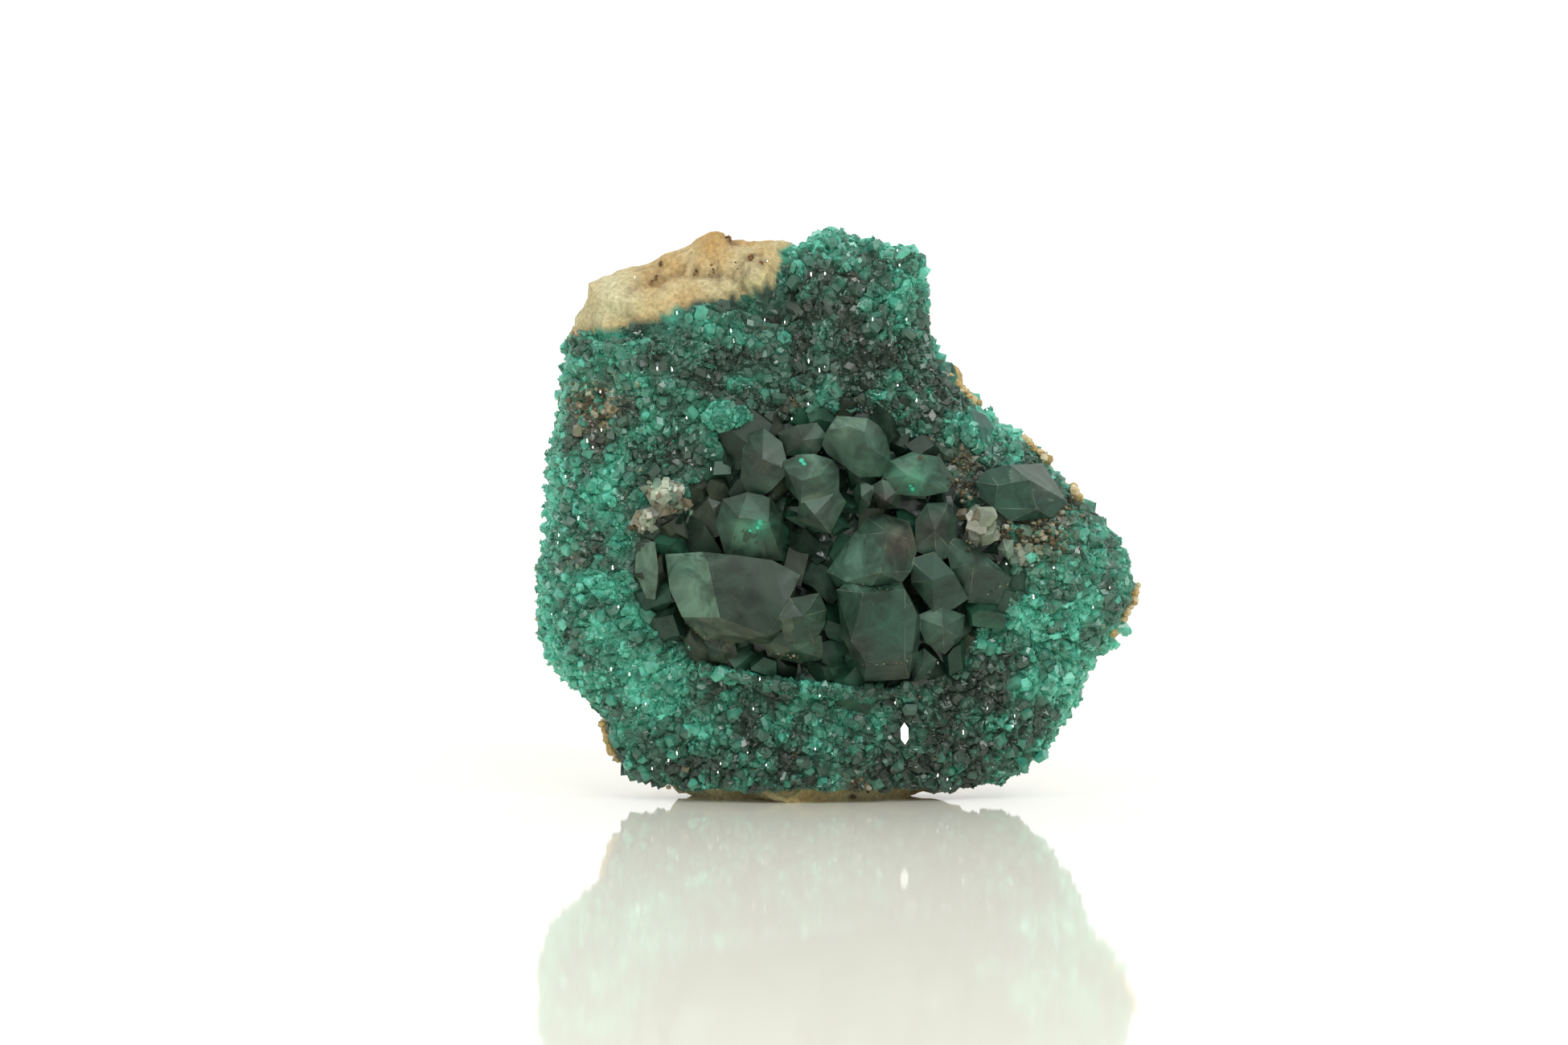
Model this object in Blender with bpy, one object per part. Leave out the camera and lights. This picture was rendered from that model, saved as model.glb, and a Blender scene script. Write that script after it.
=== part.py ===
"""A dioptase specimen: a crust of small green crystals and a group of large dark ones on tan rock.

The front faces -Y, +Z is up, and the origin is the centre of the flat foot.
Points are written in millimetres: across (X), up (Z) and, for crystals, how far they stand out.
"""
import math
import random

import bmesh
import bpy
from mathutils import Vector, noise
from mathutils.bvhtree import BVHTree

MM = 0.001

# Driving sizes of the stone, in millimetres.
HEART_X = 1.7
HEART_Y = -0.8
HEART_Z = 23.0
FRONT_DEPTH = 8.5
BACK_DEPTH = 11.0
PROFILE_POWER = 2.8
BACK_START = 0.12
ROUND_LEVEL = 4
EVENING_PASSES = 3

# The stone's outline seen from the front, across and up, clockwise from the tan peak.
OUTLINE = [
    (-5.8, 46.8), (-3.0, 46.2), (0.7, 46.3), (4.0, 47.0), (7.6, 46.7), (10.0, 46.0), (11.2, 45.0),
    (11.4, 43.2), (12.1, 39.6), (13.5, 36.2), (14.8, 34.1), (17.1, 32.1), (19.6, 30.1), (21.7, 28.2),
    (23.9, 26.1), (25.3, 24.1), (26.8, 22.1), (28.1, 20.1), (29.2, 18.0), (28.9, 15.8), (27.5, 13.3),
    (25.5, 11.6), (24.9, 9.8), (23.7, 8.2), (22.5, 6.2), (21.1, 3.9), (18.4, 1.7), (14.6, 0.7),
    (9.3, -0.4), (4.6, -2.6), (-0.5, -3.2), (-5.4, -2.2), (-9.2, 0.0), (-13.4, 2.2), (-14.9, 4.6),
    (-15.2, 7.0), (-16.1, 8.6), (-18.7, 10.3), (-19.9, 12.4), (-20.4, 15.3), (-20.4, 18.3),
    (-19.9, 20.9), (-19.9, 23.6), (-19.6, 26.3), (-19.4, 28.9), (-18.6, 31.6), (-18.2, 35.6),
    (-17.9, 38.6), (-17.4, 41.1), (-15.8, 42.6), (-12.6, 44.2), (-9.6, 45.6),
]

# Where the green crust ends and the bare rock begins at the top left, across and up.
BARE_EDGE = [
    (-25.0, 34.8), (-18.3, 36.4), (-16.8, 37.9), (-11.6, 38.7), (-8.6, 39.6), (-7.5, 40.4), (-4.7, 40.9),
    (-2.3, 41.3), (-0.8, 42.4), (0.6, 44.8), (2.0, 46.6), (3.5, 60.0),
]

# Swellings and hollows of the front: across, up, radius and height, negative for a hollow.
RELIEF = [
    (15.5, 7.6, 4.5, -1.5), (1.5, 36.5, 6.0, -1.0), (-6.5, 4.5, 4.5, -0.9), (24.0, 17.5, 5.0, 0.9),
    (-12.8, 11.6, 4.0, 0.8), (-13.5, 30.5, 3.5, -0.7), (7.0, 43.0, 3.5, 0.6), (4.0, 9.0, 5.5, -0.9),
    (-7.5, 36.0, 3.5, 0.5), (11.5, 38.5, 3.0, 0.6), (-16.5, 20.5, 3.0, 0.5), (19.0, 12.0, 3.0, 0.4),
]
ROUGHNESS = [(7.0, 0.55), (3.2, 0.32)]
ROCK_ROUGHNESS = [(8.0, 1.8), (4.0, 1.1), (2.6, 0.5)]
BREAK_ROUGHNESS = 0.3
ROCK_SEED = Vector((9.0, 3.0, 5.0))

# Knobs and pits of the bare rock: across, up, radius and height.
ROCK_KNOBS = [
    (-2.3, 43.3, 1.5, 1.5), (-15.0, 41.0, 2.0, 1.0), (-10.2, 41.8, 1.6, 0.9), (-6.6, 42.6, 1.7, 0.9),
    (-4.6, 45.6, 1.0, -0.9), (-3.0, 44.9, 1.0, -0.8), (-12.4, 41.4, 1.2, 0.7), (-8.8, 44.8, 1.8, -0.4),
]

# Flat breaks of the rock: direction faced, and a point that the break passes through.
TOP_BREAK = ((-0.25, -0.75, 0.60), (-8.0, -6.8, 40.0))
BREAKS = [
    ((0.10, 1.0, 0.06), (3.0, 8.6, 24.0)),
    ((-0.28, 0.95, -0.14), (-6.0, 7.6, 17.0)),
    ((-0.20, 0.78, 0.60), (-4.0, 6.4, 41.2)),
    ((0.66, 0.75, 0.06), (19.0, 5.2, 20.0)),
    ((-0.78, 0.60, 0.16), (-18.4, 5.0, 22.0)),
    ((0.30, 0.72, -0.62), (8.0, 6.9, 6.0)),
    ((0.52, 0.58, 0.62), (13.0, 3.8, 33.5)),
    ((-0.45, 0.62, -0.64), (-9.0, 5.8, 6.0)),
]

# The crust: its thickness, its room above the rock, and how far round the edge it wraps.
CRUST_THICKNESS = 1.2
ROOM = 0.32
CRUST_FOOT = 0.9
WRAP = 2.6
# Stretches of the rim where the crust stops short and the tan rock shows:
# angle from +X, half width, and where the crust stops there.
TAN_RIMS = [(42.0, 5.0, -1.2), (11.0, 9.0, -1.0), (-15.0, 6.0, -0.8), (-125.0, 11.0, -1.2)]
LONGEST_EDGE = 2.6
PEAK_LOW = 0.35
PEAK_HIGH = 0.95
PEAK_ROOM = 0.22

# Corners of the large crystals: across, up, and how far they stand out of the stone.
TOP_CRYSTAL = [
    (3.9, 32.1, 2.6), (6.4, 31.9, 3.2), (4.9, 31.3, 4.4), (6.1, 30.8, 4.9), (6.3, 29.7, 4.7),
    (3.1, 30.9, 3.2), (2.7, 29.7, 2.5), (3.1, 29.0, 2.4), (4.6, 28.5, 3.0), (5.7, 27.1, 2.9),
    (7.3, 31.3, 2.6), (8.0, 30.3, 1.8), (7.7, 28.8, 3.0), (8.5, 28.1, 1.6), (7.5, 27.1, 2.0),
]
CENTRE_CRYSTAL = [
    (-0.6, 28.3, 2.3), (0.7, 28.9, 2.6), (2.1, 29.0, 2.6), (3.6, 28.5, 2.4), (4.1, 27.7, 2.6),
    (2.5, 27.3, 3.8), (1.1, 26.9, 4.1), (-0.1, 27.5, 3.3), (4.1, 25.8, 2.6), (1.0, 25.0, 3.2),
    (-0.1, 26.3, 2.3),
]
CENTRE_POINT = [
    (0.9, 25.6, 3.0), (4.0, 26.1, 2.6), (4.7, 25.1, 2.2), (3.4, 22.5, 2.3), (1.1, 24.4, 2.6),
    (2.1, 24.1, 3.5), (0.7, 23.6, 1.6),
]
UPPER_RIGHT_CRYSTAL = [
    (7.5, 26.9, 1.8), (8.2, 28.4, 2.0), (10.0, 29.1, 2.0), (10.9, 28.9, 2.9), (12.3, 28.7, 2.0),
    (13.5, 26.9, 1.3), (12.9, 25.9, 2.6), (11.0, 25.5, 2.2), (8.6, 25.7, 2.0), (9.6, 27.3, 3.3),
]
UPPER_LEFT_CRYSTAL = [
    (-3.3, 30.6, 1.4), (-2.0, 31.1, 1.8), (-0.5, 29.9, 1.8), (0.1, 27.6, 2.4), (-1.3, 26.1, 2.4),
    (-3.0, 24.9, 1.2), (-3.9, 26.9, 1.2), (-3.7, 29.3, 1.4), (-2.1, 28.6, 3.0),
]
UPPER_MIDDLE_CRYSTAL = [
    (-0.9, 30.6, 1.2), (0.7, 31.3, 1.6), (2.3, 31.5, 1.6), (3.3, 30.3, 1.8), (2.2, 28.8, 1.8),
    (-0.3, 28.8, 1.6), (1.2, 30.1, 2.6),
]
BROWN_CRYSTAL = [
    (6.5, 26.3, 1.6), (7.6, 26.9, 2.2), (9.2, 26.3, 1.8), (9.0, 24.5, 1.4), (7.4, 24.4, 1.6),
    (7.8, 25.2, 2.6),
]
SMALL_SHARD = [
    (5.2, 25.9, 1.2), (5.8, 26.9, 1.8), (7.0, 26.3, 1.8), (6.6, 24.8, 1.7), (5.7, 23.9, 1.1),
    (5.9, 25.5, 2.3),
]
LEFT_UPPER_CRYSTAL = [
    (-5.9, 23.3, 1.5), (-5.3, 25.3, 1.8), (-3.3, 25.9, 2.4), (-1.5, 25.5, 2.4), (-0.4, 24.3, 1.5),
    (-0.5, 20.3, 1.5), (-1.6, 23.6, 3.7), (-2.1, 20.3, 2.2), (-5.0, 20.3, 1.8), (-4.0, 23.9, 3.0),
]
LEFT_GREAT_CRYSTAL = [
    (-10.0, 20.8, 1.6), (-7.0, 21.1, 3.3), (-6.5, 20.3, 4.2), (-5.5, 15.9, 5.0), (-8.6, 15.8, 3.2),
    (-9.6, 17.9, 2.3), (-1.7, 14.4, 4.4), (-0.6, 14.8, 3.9), (-0.3, 16.6, 3.7), (1.0, 19.2, 2.3),
    (-1.3, 20.4, 2.7), (-4.6, 20.9, 3.5), (-8.0, 15.0, 2.2), (-6.8, 13.8, 1.8), (-4.6, 13.6, 2.0),
    (-1.5, 13.6, 2.4),
]
LEFT_HEX_CRYSTAL = [
    (0.1, 17.4, 3.7), (2.5, 17.8, 3.3), (3.1, 16.4, 2.9), (3.0, 15.2, 2.7), (2.1, 13.6, 2.3),
    (-0.3, 13.9, 3.0), (-0.8, 15.7, 3.9), (1.2, 16.0, 4.6),
]
LEFT_FOOT_CRYSTAL = [
    (-2.1, 13.9, 1.6), (-0.7, 14.6, 2.4), (1.0, 14.6, 2.6), (2.7, 14.2, 2.2), (2.9, 12.2, 1.0),
    (0.7, 11.9, 1.0), (-1.7, 12.4, 0.9), (0.7, 13.1, 2.5),
]
LEFT_CORNER_CRYSTAL = [
    (-6.9, 13.6, 1.3), (-5.9, 14.4, 2.0), (-4.5, 14.3, 2.0), (-4.1, 12.6, 1.2), (-5.0, 11.8, 0.7),
    (-6.3, 12.0, 0.7), (-5.5, 13.0, 2.3),
]
RIGHT_TALL_CRYSTAL = [
    (6.4, 23.8, 2.1), (8.0, 22.8, 4.3), (7.4, 19.6, 5.0), (6.7, 18.4, 4.0), (4.7, 18.7, 3.2),
    (4.5, 20.2, 2.6), (5.1, 22.3, 2.1), (10.3, 21.9, 2.5), (10.4, 21.1, 2.5), (9.9, 19.5, 3.1),
    (9.2, 18.6, 3.3), (3.1, 19.4, 1.5), (3.9, 18.2, 1.7), (7.8, 24.1, 2.1), (9.8, 23.5, 1.9),
]
RIGHT_GREAT_CRYSTAL = [
    (6.0, 17.9, 4.4), (9.4, 18.1, 4.2), (10.4, 16.1, 3.5), (10.0, 12.8, 3.2), (9.4, 12.2, 3.4),
    (6.3, 12.2, 3.8), (5.1, 13.9, 4.0), (3.9, 18.0, 2.4), (4.3, 14.2, 2.2), (9.8, 10.6, 1.4),
    (6.2, 10.4, 1.6), (10.9, 15.5, 2.0), (10.5, 12.6, 1.8), (5.0, 18.8, 2.8), (9.0, 19.0, 2.8),
]
RIGHT_MIDDLE_CRYSTAL = [
    (9.8, 20.5, 2.7), (11.8, 21.1, 3.1), (13.4, 19.4, 3.3), (14.6, 17.2, 2.0), (13.5, 16.4, 2.0),
    (11.8, 16.0, 2.5), (9.9, 18.6, 2.9), (11.6, 18.8, 3.9),
]
RIGHT_DARK_CRYSTAL = [
    (12.6, 22.2, 2.0), (14.6, 22.0, 1.8), (16.3, 19.9, 2.5), (18.2, 18.8, 0.9), (17.4, 16.6, 0.6),
    (14.7, 16.8, 1.5), (13.1, 19.6, 2.6), (15.0, 20.3, 3.3),
]
RIGHT_UPPER_CRYSTAL = [
    (10.3, 23.6, 1.6), (11.2, 25.0, 1.8), (13.0, 25.0, 1.6), (13.8, 23.6, 1.4), (13.6, 20.7, 1.9),
    (12.0, 20.3, 2.6), (10.2, 21.2, 2.4), (11.8, 22.8, 3.4),
]
RIGHT_FOOT_CRYSTAL = [
    (10.2, 15.8, 2.5), (12.3, 16.7, 2.4), (14.4, 15.8, 1.2), (14.1, 13.7, 0.9), (12.7, 12.6, 1.2),
    (11.1, 13.6, 2.0), (12.5, 15.0, 3.1),
]
RIGHT_CORNER_CRYSTAL = [
    (9.8, 12.3, 1.6), (11.0, 13.2, 2.0), (12.1, 12.2, 1.2), (11.6, 10.6, 0.6), (10.2, 10.3, 0.8),
    (10.9, 11.8, 2.3),
]
FAR_RIGHT_CRYSTAL = [
    (15.2, 26.6, 1.0), (16.1, 27.6, 1.6), (18.0, 28.0, 1.9), (20.9, 28.0, 0.9), (22.9, 24.9, 0.7),
    (20.2, 24.4, 1.9), (19.6, 26.8, 2.8), (16.7, 24.5, 1.9), (18.0, 23.4, 0.9), (21.6, 23.6, 0.7),
    (15.6, 25.3, 1.2), (17.0, 26.4, 2.5),
]
LEFT_BLADE = [
    (-11.8, 22.0, 1.1), (-10.8, 21.8, 2.2), (-10.5, 19.6, 2.8), (-10.8, 17.0, 1.2), (-11.6, 17.1, 1.0),
    (-12.5, 19.3, 0.9), (-12.4, 21.5, 0.9), (-10.5, 18.3, 1.6),
]
TEAL_LOBE_LEFT = [
    (-7.0, 32.0, 0.8), (-6.1, 33.0, 1.2), (-4.8, 33.2, 1.4), (-4.1, 32.3, 1.9), (-4.9, 31.0, 1.7),
    (-6.4, 30.9, 0.9), (-5.5, 32.1, 2.4),
]
TEAL_LOBE_RIGHT = [
    (-5.1, 32.5, 1.2), (-3.7, 32.8, 1.2), (-2.9, 31.8, 0.8), (-3.7, 31.0, 0.9), (-4.8, 30.5, 0.9),
    (-5.5, 31.3, 1.4), (-4.3, 31.8, 2.2),
]
TEAL_CRYSTAL = [
    (14.0, 31.3, 0.9), (15.0, 32.5, 1.0), (16.2, 32.0, 0.9), (16.9, 30.9, 0.8), (16.0, 29.2, 0.8),
    (14.4, 29.6, 0.9), (15.4, 31.1, 1.8),
]
PALE_CRYSTAL = [
    (14.5, 22.9, 1.2), (14.6, 24.4, 1.5), (15.3, 24.9, 1.6), (16.4, 24.0, 1.4), (16.7, 22.9, 1.2),
    (15.8, 22.3, 1.0), (15.4, 23.5, 2.9),
]
PALE_SHARD = [
    (17.0, 21.2, 0.9), (17.4, 22.0, 1.4), (18.3, 21.9, 1.1), (18.4, 20.7, 0.9), (17.9, 20.2, 0.8),
    (17.7, 21.1, 1.9),
]
PALE_PATCH_UPPER = [
    (-11.6, 25.5, 0.8), (-10.8, 26.7, 1.0), (-9.3, 26.8, 1.0), (-8.6, 25.5, 0.9), (-9.1, 24.1, 1.0),
    (-10.6, 23.7, 1.0), (-10.2, 25.5, 2.0),
]
PALE_PATCH_LOWER = [
    (-12.9, 23.2, 0.8), (-12.4, 24.3, 1.0), (-11.0, 24.6, 1.2), (-10.4, 24.0, 1.2), (-11.2, 22.8, 0.9),
    (-11.7, 23.6, 1.7),
]

# How deep the crystals' roots reach below the stone's surface before they are trimmed.
ROOT_DEPTH = 2.0
ROOT_SHRINK = 0.9
FACET_ANGLE = math.radians(7.0)
CLEARANCE = 0.55

# The lip below the large crystals: across, up and how far it stands out.
LEDGE_LINE = [
    (-7.2, 11.4, 1.0), (-5.0, 11.1, 1.5), (-2.9, 10.7, 1.8), (-1.2, 10.3, 1.9), (0.8, 9.9, 2.0),
    (3.0, 9.7, 1.9), (5.0, 9.6, 1.9), (7.4, 9.5, 1.7), (10.0, 9.6, 1.1),
]
LEDGE_HALF_HEIGHT = 0.42
LEDGE_STEPS = 3


def start_clean():
    for thing in list(bpy.data.objects):
        bpy.data.objects.remove(thing, do_unlink=True)


def stone_material(name, colour, roughness, transmission=0.0):
    material = bpy.data.materials.new(name)
    material.use_nodes = True
    shader = material.node_tree.nodes["Principled BSDF"]
    shader.inputs["Base Color"].default_value = (*colour, 1.0)
    shader.inputs["Roughness"].default_value = roughness
    shader.inputs["Metallic"].default_value = 0.0
    shader.inputs["Transmission Weight"].default_value = transmission
    material.diffuse_color = (*colour, 1.0)
    return material


def object_from(bm, name, material):
    mesh = bpy.data.meshes.new(name)
    bm.to_mesh(mesh)
    bm.free()
    made = bpy.data.objects.new(name, mesh)
    bpy.context.collection.objects.link(made)
    made.data.materials.append(material)
    return made


def bell(distance, radius):
    return math.exp(-(distance / radius) ** 2)


def line_height(line, across):
    for (x0, z0), (x1, z1) in zip(line, line[1:]):
        if x0 <= across <= x1:
            return z0 + (z1 - z0) * (across - x0) / (x1 - x0)
    return line[0][1] if across < line[0][0] else line[-1][1]


def outline_polar():
    spots = []
    for x, z in OUTLINE:
        spots.append((math.atan2(z - HEART_Z, x - HEART_X), math.hypot(x - HEART_X, z - HEART_Z)))
    spots.sort()
    first = (spots[0][0] + math.tau, spots[0][1])
    last = (spots[-1][0] - math.tau, spots[-1][1])
    return [last] + spots + [first]


POLAR = outline_polar()


def reach_at(angle):
    for (a0, r0), (a1, r1) in zip(POLAR, POLAR[1:]):
        if a0 <= angle <= a1:
            share = (angle - a0) / (a1 - a0)
            return r0 + (r1 - r0) * share
    return POLAR[0][1]


def front_y(across, up):
    """The smooth front of the stone, before swellings and hollows."""
    dx = across - HEART_X
    dz = up - HEART_Z
    share = min(0.999, math.hypot(dx, dz) / reach_at(math.atan2(dz, dx)))
    return HEART_Y - FRONT_DEPTH * (1.0 - share ** PROFILE_POWER) ** (1.0 / PROFILE_POWER)


def is_bare(point):
    return point.z > line_height(BARE_EDGE, point.x)


def surface_point(direction):
    """The stone's surface along one direction from its heart, in millimetres."""
    heart = Vector((HEART_X, HEART_Y, HEART_Z))
    across = math.hypot(direction.x, direction.z)
    reach = reach_at(math.atan2(direction.z, direction.x))
    depth = FRONT_DEPTH if direction.y < 0 else BACK_DEPTH
    total = (across / reach) ** PROFILE_POWER + (abs(direction.y) / depth) ** PROFILE_POWER
    radius = total ** (-1.0 / PROFILE_POWER)
    spot = heart + direction * radius
    facing = max(0.0, -direction.y) ** 0.5
    lift = 0.0
    for x, z, width, height in RELIEF:
        lift += height * facing * bell(math.hypot(spot.x - x, spot.z - z), width)
    for size, height in ROUGHNESS:
        lift += height * facing * noise.noise(spot / size)
    behind = min(1.0, max(0.0, direction.y - BACK_START) * 3.0)
    rock_lift = 0.0
    for size, height in ROCK_ROUGHNESS:
        rock_lift += height * behind * noise.noise(spot / size + ROCK_SEED)
    radius += lift + rock_lift * (1.0 - BREAK_ROUGHNESS)
    breaks = list(BREAKS)
    if direction.y > BACK_START or is_bare(spot):
        breaks.append(TOP_BREAK)
    for normal, passing in breaks:
        normal = Vector(normal).normalized()
        rise = normal.dot(direction)
        if rise > 1e-6:
            radius = min(radius, normal.dot(Vector(passing) - heart) / rise)
    if is_bare(spot) and direction.y < BACK_START:
        for x, z, width, height in ROCK_KNOBS:
            radius += height * bell(math.hypot(spot.x - x, spot.z - z), width)
    radius += rock_lift * BREAK_ROUGHNESS
    if direction.z < 0:
        radius = min(radius, -HEART_Z / direction.z)
    return heart + direction * radius


def direction_of(point):
    return (point - Vector((HEART_X, HEART_Y, HEART_Z))).normalized()


def stone_mesh():
    """The whole stone as one closed mesh of triangles, in millimetres."""
    bm = bmesh.new()
    bmesh.ops.create_icosphere(bm, subdivisions=ROUND_LEVEL, radius=1.0)
    for vert in bm.verts:
        vert.co = surface_point(vert.co.normalized())
    for _ in range(EVENING_PASSES):
        middles = []
        for vert in bm.verts:
            near = [edge.other_vert(vert).co for edge in vert.link_edges]
            middles.append(sum(near, Vector()) / len(near))
        for vert, middle in zip(bm.verts, middles):
            vert.co = surface_point(direction_of(vert.co.lerp(middle, 0.7)))
    settle_foot(bm)
    bm.normal_update()
    return bm


def settle_foot(bm):
    """Brings the ring of corners above the flat foot down to where the crust ends."""
    ring = []
    for vert in bm.verts:
        low = [edge.other_vert(vert) for edge in vert.link_edges if edge.other_vert(vert).co.z < 0.01]
        if vert.co.z > 0.01 and low and vert.co.y < BACK_DEPTH * 0.3:
            ring.append(vert)
    for vert in ring:
        for _ in range(4):
            aim = vert.co.copy()
            aim.z = CRUST_FOOT + 0.15
            vert.co = surface_point(direction_of(aim))


def crust_limit(point):
    angle = math.degrees(math.atan2(point.z - HEART_Z, point.x - HEART_X))
    limit = WRAP
    for middle, half, stop in TAN_RIMS:
        apart = abs((angle - middle + 180.0) % 360.0 - 180.0)
        if apart < half:
            limit = stop
    return limit


def fans_at(vert, chosen):
    """The separate fans of chosen faces that meet at a corner."""
    waiting = {face for face in vert.link_faces if face in chosen}
    fans = 0
    while waiting:
        fans += 1
        front = [waiting.pop()]
        while front:
            face = front.pop()
            for edge in face.edges:
                if vert in edge.verts:
                    for other in edge.link_faces:
                        if other in waiting:
                            waiting.remove(other)
                            front.append(other)
    return fans


def crust_faces(bm):
    """The faces under the crust: one connected patch whose rim never touches itself."""
    chosen = set()
    for face in bm.faces:
        middle = face.calc_center_median()
        low = min(vert.co.z for vert in face.verts)
        if middle.y < crust_limit(middle) and not is_bare(middle) and low > CRUST_FOOT:
            chosen.add(face)
    changed = True
    while changed:
        changed = False
        for face in list(chosen):
            near = {other for edge in face.edges for other in edge.link_faces if other != face}
            if len(near & chosen) < 2:
                chosen.discard(face)
                changed = True
        for vert in bm.verts:
            if fans_at(vert, chosen) > 1:
                chosen -= set(vert.link_faces)
                changed = True
    biggest = set()
    left = set(chosen)
    while left:
        patch = {left.pop()}
        front = list(patch)
        while front:
            for edge in front.pop().edges:
                for other in edge.link_faces:
                    if other in left:
                        left.remove(other)
                        patch.add(other)
                        front.append(other)
        if len(patch) > len(biggest):
            biggest = patch
    return biggest


def matrix_rock(stone, under_crust, material):
    """The host rock: the stone, sunk by the crust's thickness wherever the crust lies on it."""
    bm = stone.copy()
    bm.faces.ensure_lookup_table()
    bm.normal_update()
    sunk = {vert for face in under_crust for vert in bm.faces[face].verts}
    for vert in sunk:
        vert.co -= vert.normal * (CRUST_THICKNESS + ROOM)
    bmesh.ops.scale(bm, vec=(MM, MM, MM), verts=bm.verts)
    return object_from(bm, "matrix_rock", material)


def open_skin(stone, under_crust):
    """The crust's outer face: the stone's faces under it, with long edges halved."""
    bm = stone.copy()
    bm.faces.ensure_lookup_table()
    bm.normal_update()
    away = [face for face in bm.faces if face.index not in under_crust]
    normals = bm.verts.layers.float_vector.new("normal")
    for vert in bm.verts:
        vert[normals] = vert.normal
    bmesh.ops.delete(bm, geom=away, context="FACES")
    for _ in range(2):
        long_edges = []
        for edge in bm.edges:
            if edge.calc_length() > LONGEST_EDGE and not edge.is_boundary:
                long_edges.append(edge)
        before = set(bm.verts)
        bmesh.ops.subdivide_edges(bm, edges=long_edges, cuts=1)
        for vert in bm.verts:
            if vert not in before:
                vert.co = surface_point(direction_of(vert.co))
        bmesh.ops.triangulate(bm, faces=bm.faces)
    return bm, normals


def druse_crust(stone, under_crust, crystals, material):
    """The crust: a shell whose outer face stands up in small three-sided peaks."""
    bm, normals = open_skin(stone, under_crust)
    inner = stone.copy()
    inner.faces.ensure_lookup_table()
    inner.normal_update()
    for vert in inner.verts:
        vert.co = vert.co - vert.normal * CRUST_THICKNESS
    away = [face for face in inner.faces if face.index not in under_crust]
    bmesh.ops.delete(inner, geom=away, context="FACES")
    bmesh.ops.reverse_faces(inner, faces=inner.faces)
    rim = [vert for vert in bm.verts if vert.is_boundary]
    rim_edges = [edge for edge in bm.edges if edge.is_boundary]
    rim_normals = {vert: vert[normals].copy() for vert in rim}
    outer_faces = list(bm.faces)
    made = {}
    for vert in inner.verts:
        made[vert.index] = bm.verts.new(vert.co)
    for face in inner.faces:
        bm.faces.new([made[vert.index] for vert in face.verts])
    below = {}
    inner_rim = [made[vert.index] for vert in inner.verts if vert.is_boundary]
    for vert in rim:
        spot = vert.co - rim_normals[vert] * CRUST_THICKNESS
        below[vert] = min(inner_rim, key=lambda other: (other.co - spot).length)
    inner.free()
    for edge in rim_edges:
        first, second = edge.verts
        loop = edge.link_loops[0]
        if loop.vert == first:
            first, second = second, first
        bm.faces.new([first, second, below[second], below[first]])
    raise_peaks(bm, outer_faces, crystals)
    bmesh.ops.triangulate(bm, faces=bm.faces)
    bmesh.ops.scale(bm, vec=(MM, MM, MM), verts=bm.verts)
    return object_from(bm, "druse_crust", material)


def raise_peaks(bm, faces, crystals):
    """Turns faces of the crust into small peaks, away from the large crystals."""
    rng = random.Random(11)
    trees = []
    for crystal in crystals:
        shape = bmesh.new()
        shape.from_mesh(crystal.data)
        trees.append(BVHTree.FromBMesh(shape))
        shape.free()
    bm.normal_update()
    raised = []
    for face in faces:
        height = rng.uniform(PEAK_LOW, PEAK_HIGH)
        slide = rng.uniform(0.0, 0.35)
        corner = face.verts[rng.randrange(3)].co
        foot = face.calc_center_median().lerp(corner, slide)
        if face.calc_area() < 0.5:
            continue
        for share in (1.0, 0.6, 0.35):
            tip = foot + face.normal * height * share
            if not touches(face, tip, trees):
                raised.append((face, tip))
                break
    for face, tip in raised:
        poked = bmesh.ops.poke(bm, faces=[face])
        poked["verts"][0].co = tip


def touches(face, tip, trees):
    """Whether a peak on this face would come too near one of the large crystals."""
    feet = [vert.co for vert in face.verts]
    feet += [(edge.verts[0].co + edge.verts[1].co) / 2.0 for edge in face.edges]
    spots = [tip]
    for foot in feet:
        spots += [tip.lerp(foot, share) for share in (0.25, 0.5, 0.75)]
    for tree in trees:
        for spot in spots:
            if tree.find_nearest(spot * MM, PEAK_ROOM * MM)[0] is not None:
                return True
        if tree.ray_cast(tip * MM, Vector((0.0, -1.0, 0.0)))[0] is not None:
            return True
    return False


def crystal_hull(corners, grow=0.0):
    """One crystal: the solid between its corners and its roots inside the stone."""
    spots = []
    for x, z, out in corners:
        spots.append(Vector((x, front_y(x, z) - out, z)))
    middle = sum(spots, Vector()) / len(spots)
    for x, z, out in corners:
        root = Vector((x, front_y(x, z) + ROOT_DEPTH, z))
        root.x = middle.x + (x - middle.x) * ROOT_SHRINK
        root.z = middle.z + (z - middle.z) * ROOT_SHRINK
        spots.append(root)
    middle = sum(spots, Vector()) / len(spots)
    spots = [spot + (spot - middle).normalized() * grow for spot in spots]
    bm = bmesh.new()
    for spot in spots:
        bm.verts.new(spot * MM)
    hull = bmesh.ops.convex_hull(bm, input=bm.verts)
    inside = {item for item in hull["geom_interior"] if isinstance(item, bmesh.types.BMVert)}
    bmesh.ops.delete(bm, geom=list(inside), context="VERTS")
    bmesh.ops.dissolve_limit(bm, angle_limit=FACET_ANGLE, verts=bm.verts, edges=bm.edges)
    bmesh.ops.triangulate(bm, faces=bm.faces)
    bmesh.ops.recalc_face_normals(bm, faces=bm.faces)
    return bm


def cut_with(made, tool, operation):
    modifier = made.modifiers.new("cut", "BOOLEAN")
    modifier.operation = operation
    modifier.solver = "EXACT"
    modifier.object = tool
    depsgraph = bpy.context.evaluated_depsgraph_get()
    shaped = bpy.data.meshes.new_from_object(made.evaluated_get(depsgraph))
    made.modifiers.clear()
    old = made.data
    shaped.name = old.name
    made.data = shaped
    bpy.data.meshes.remove(old)


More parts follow.
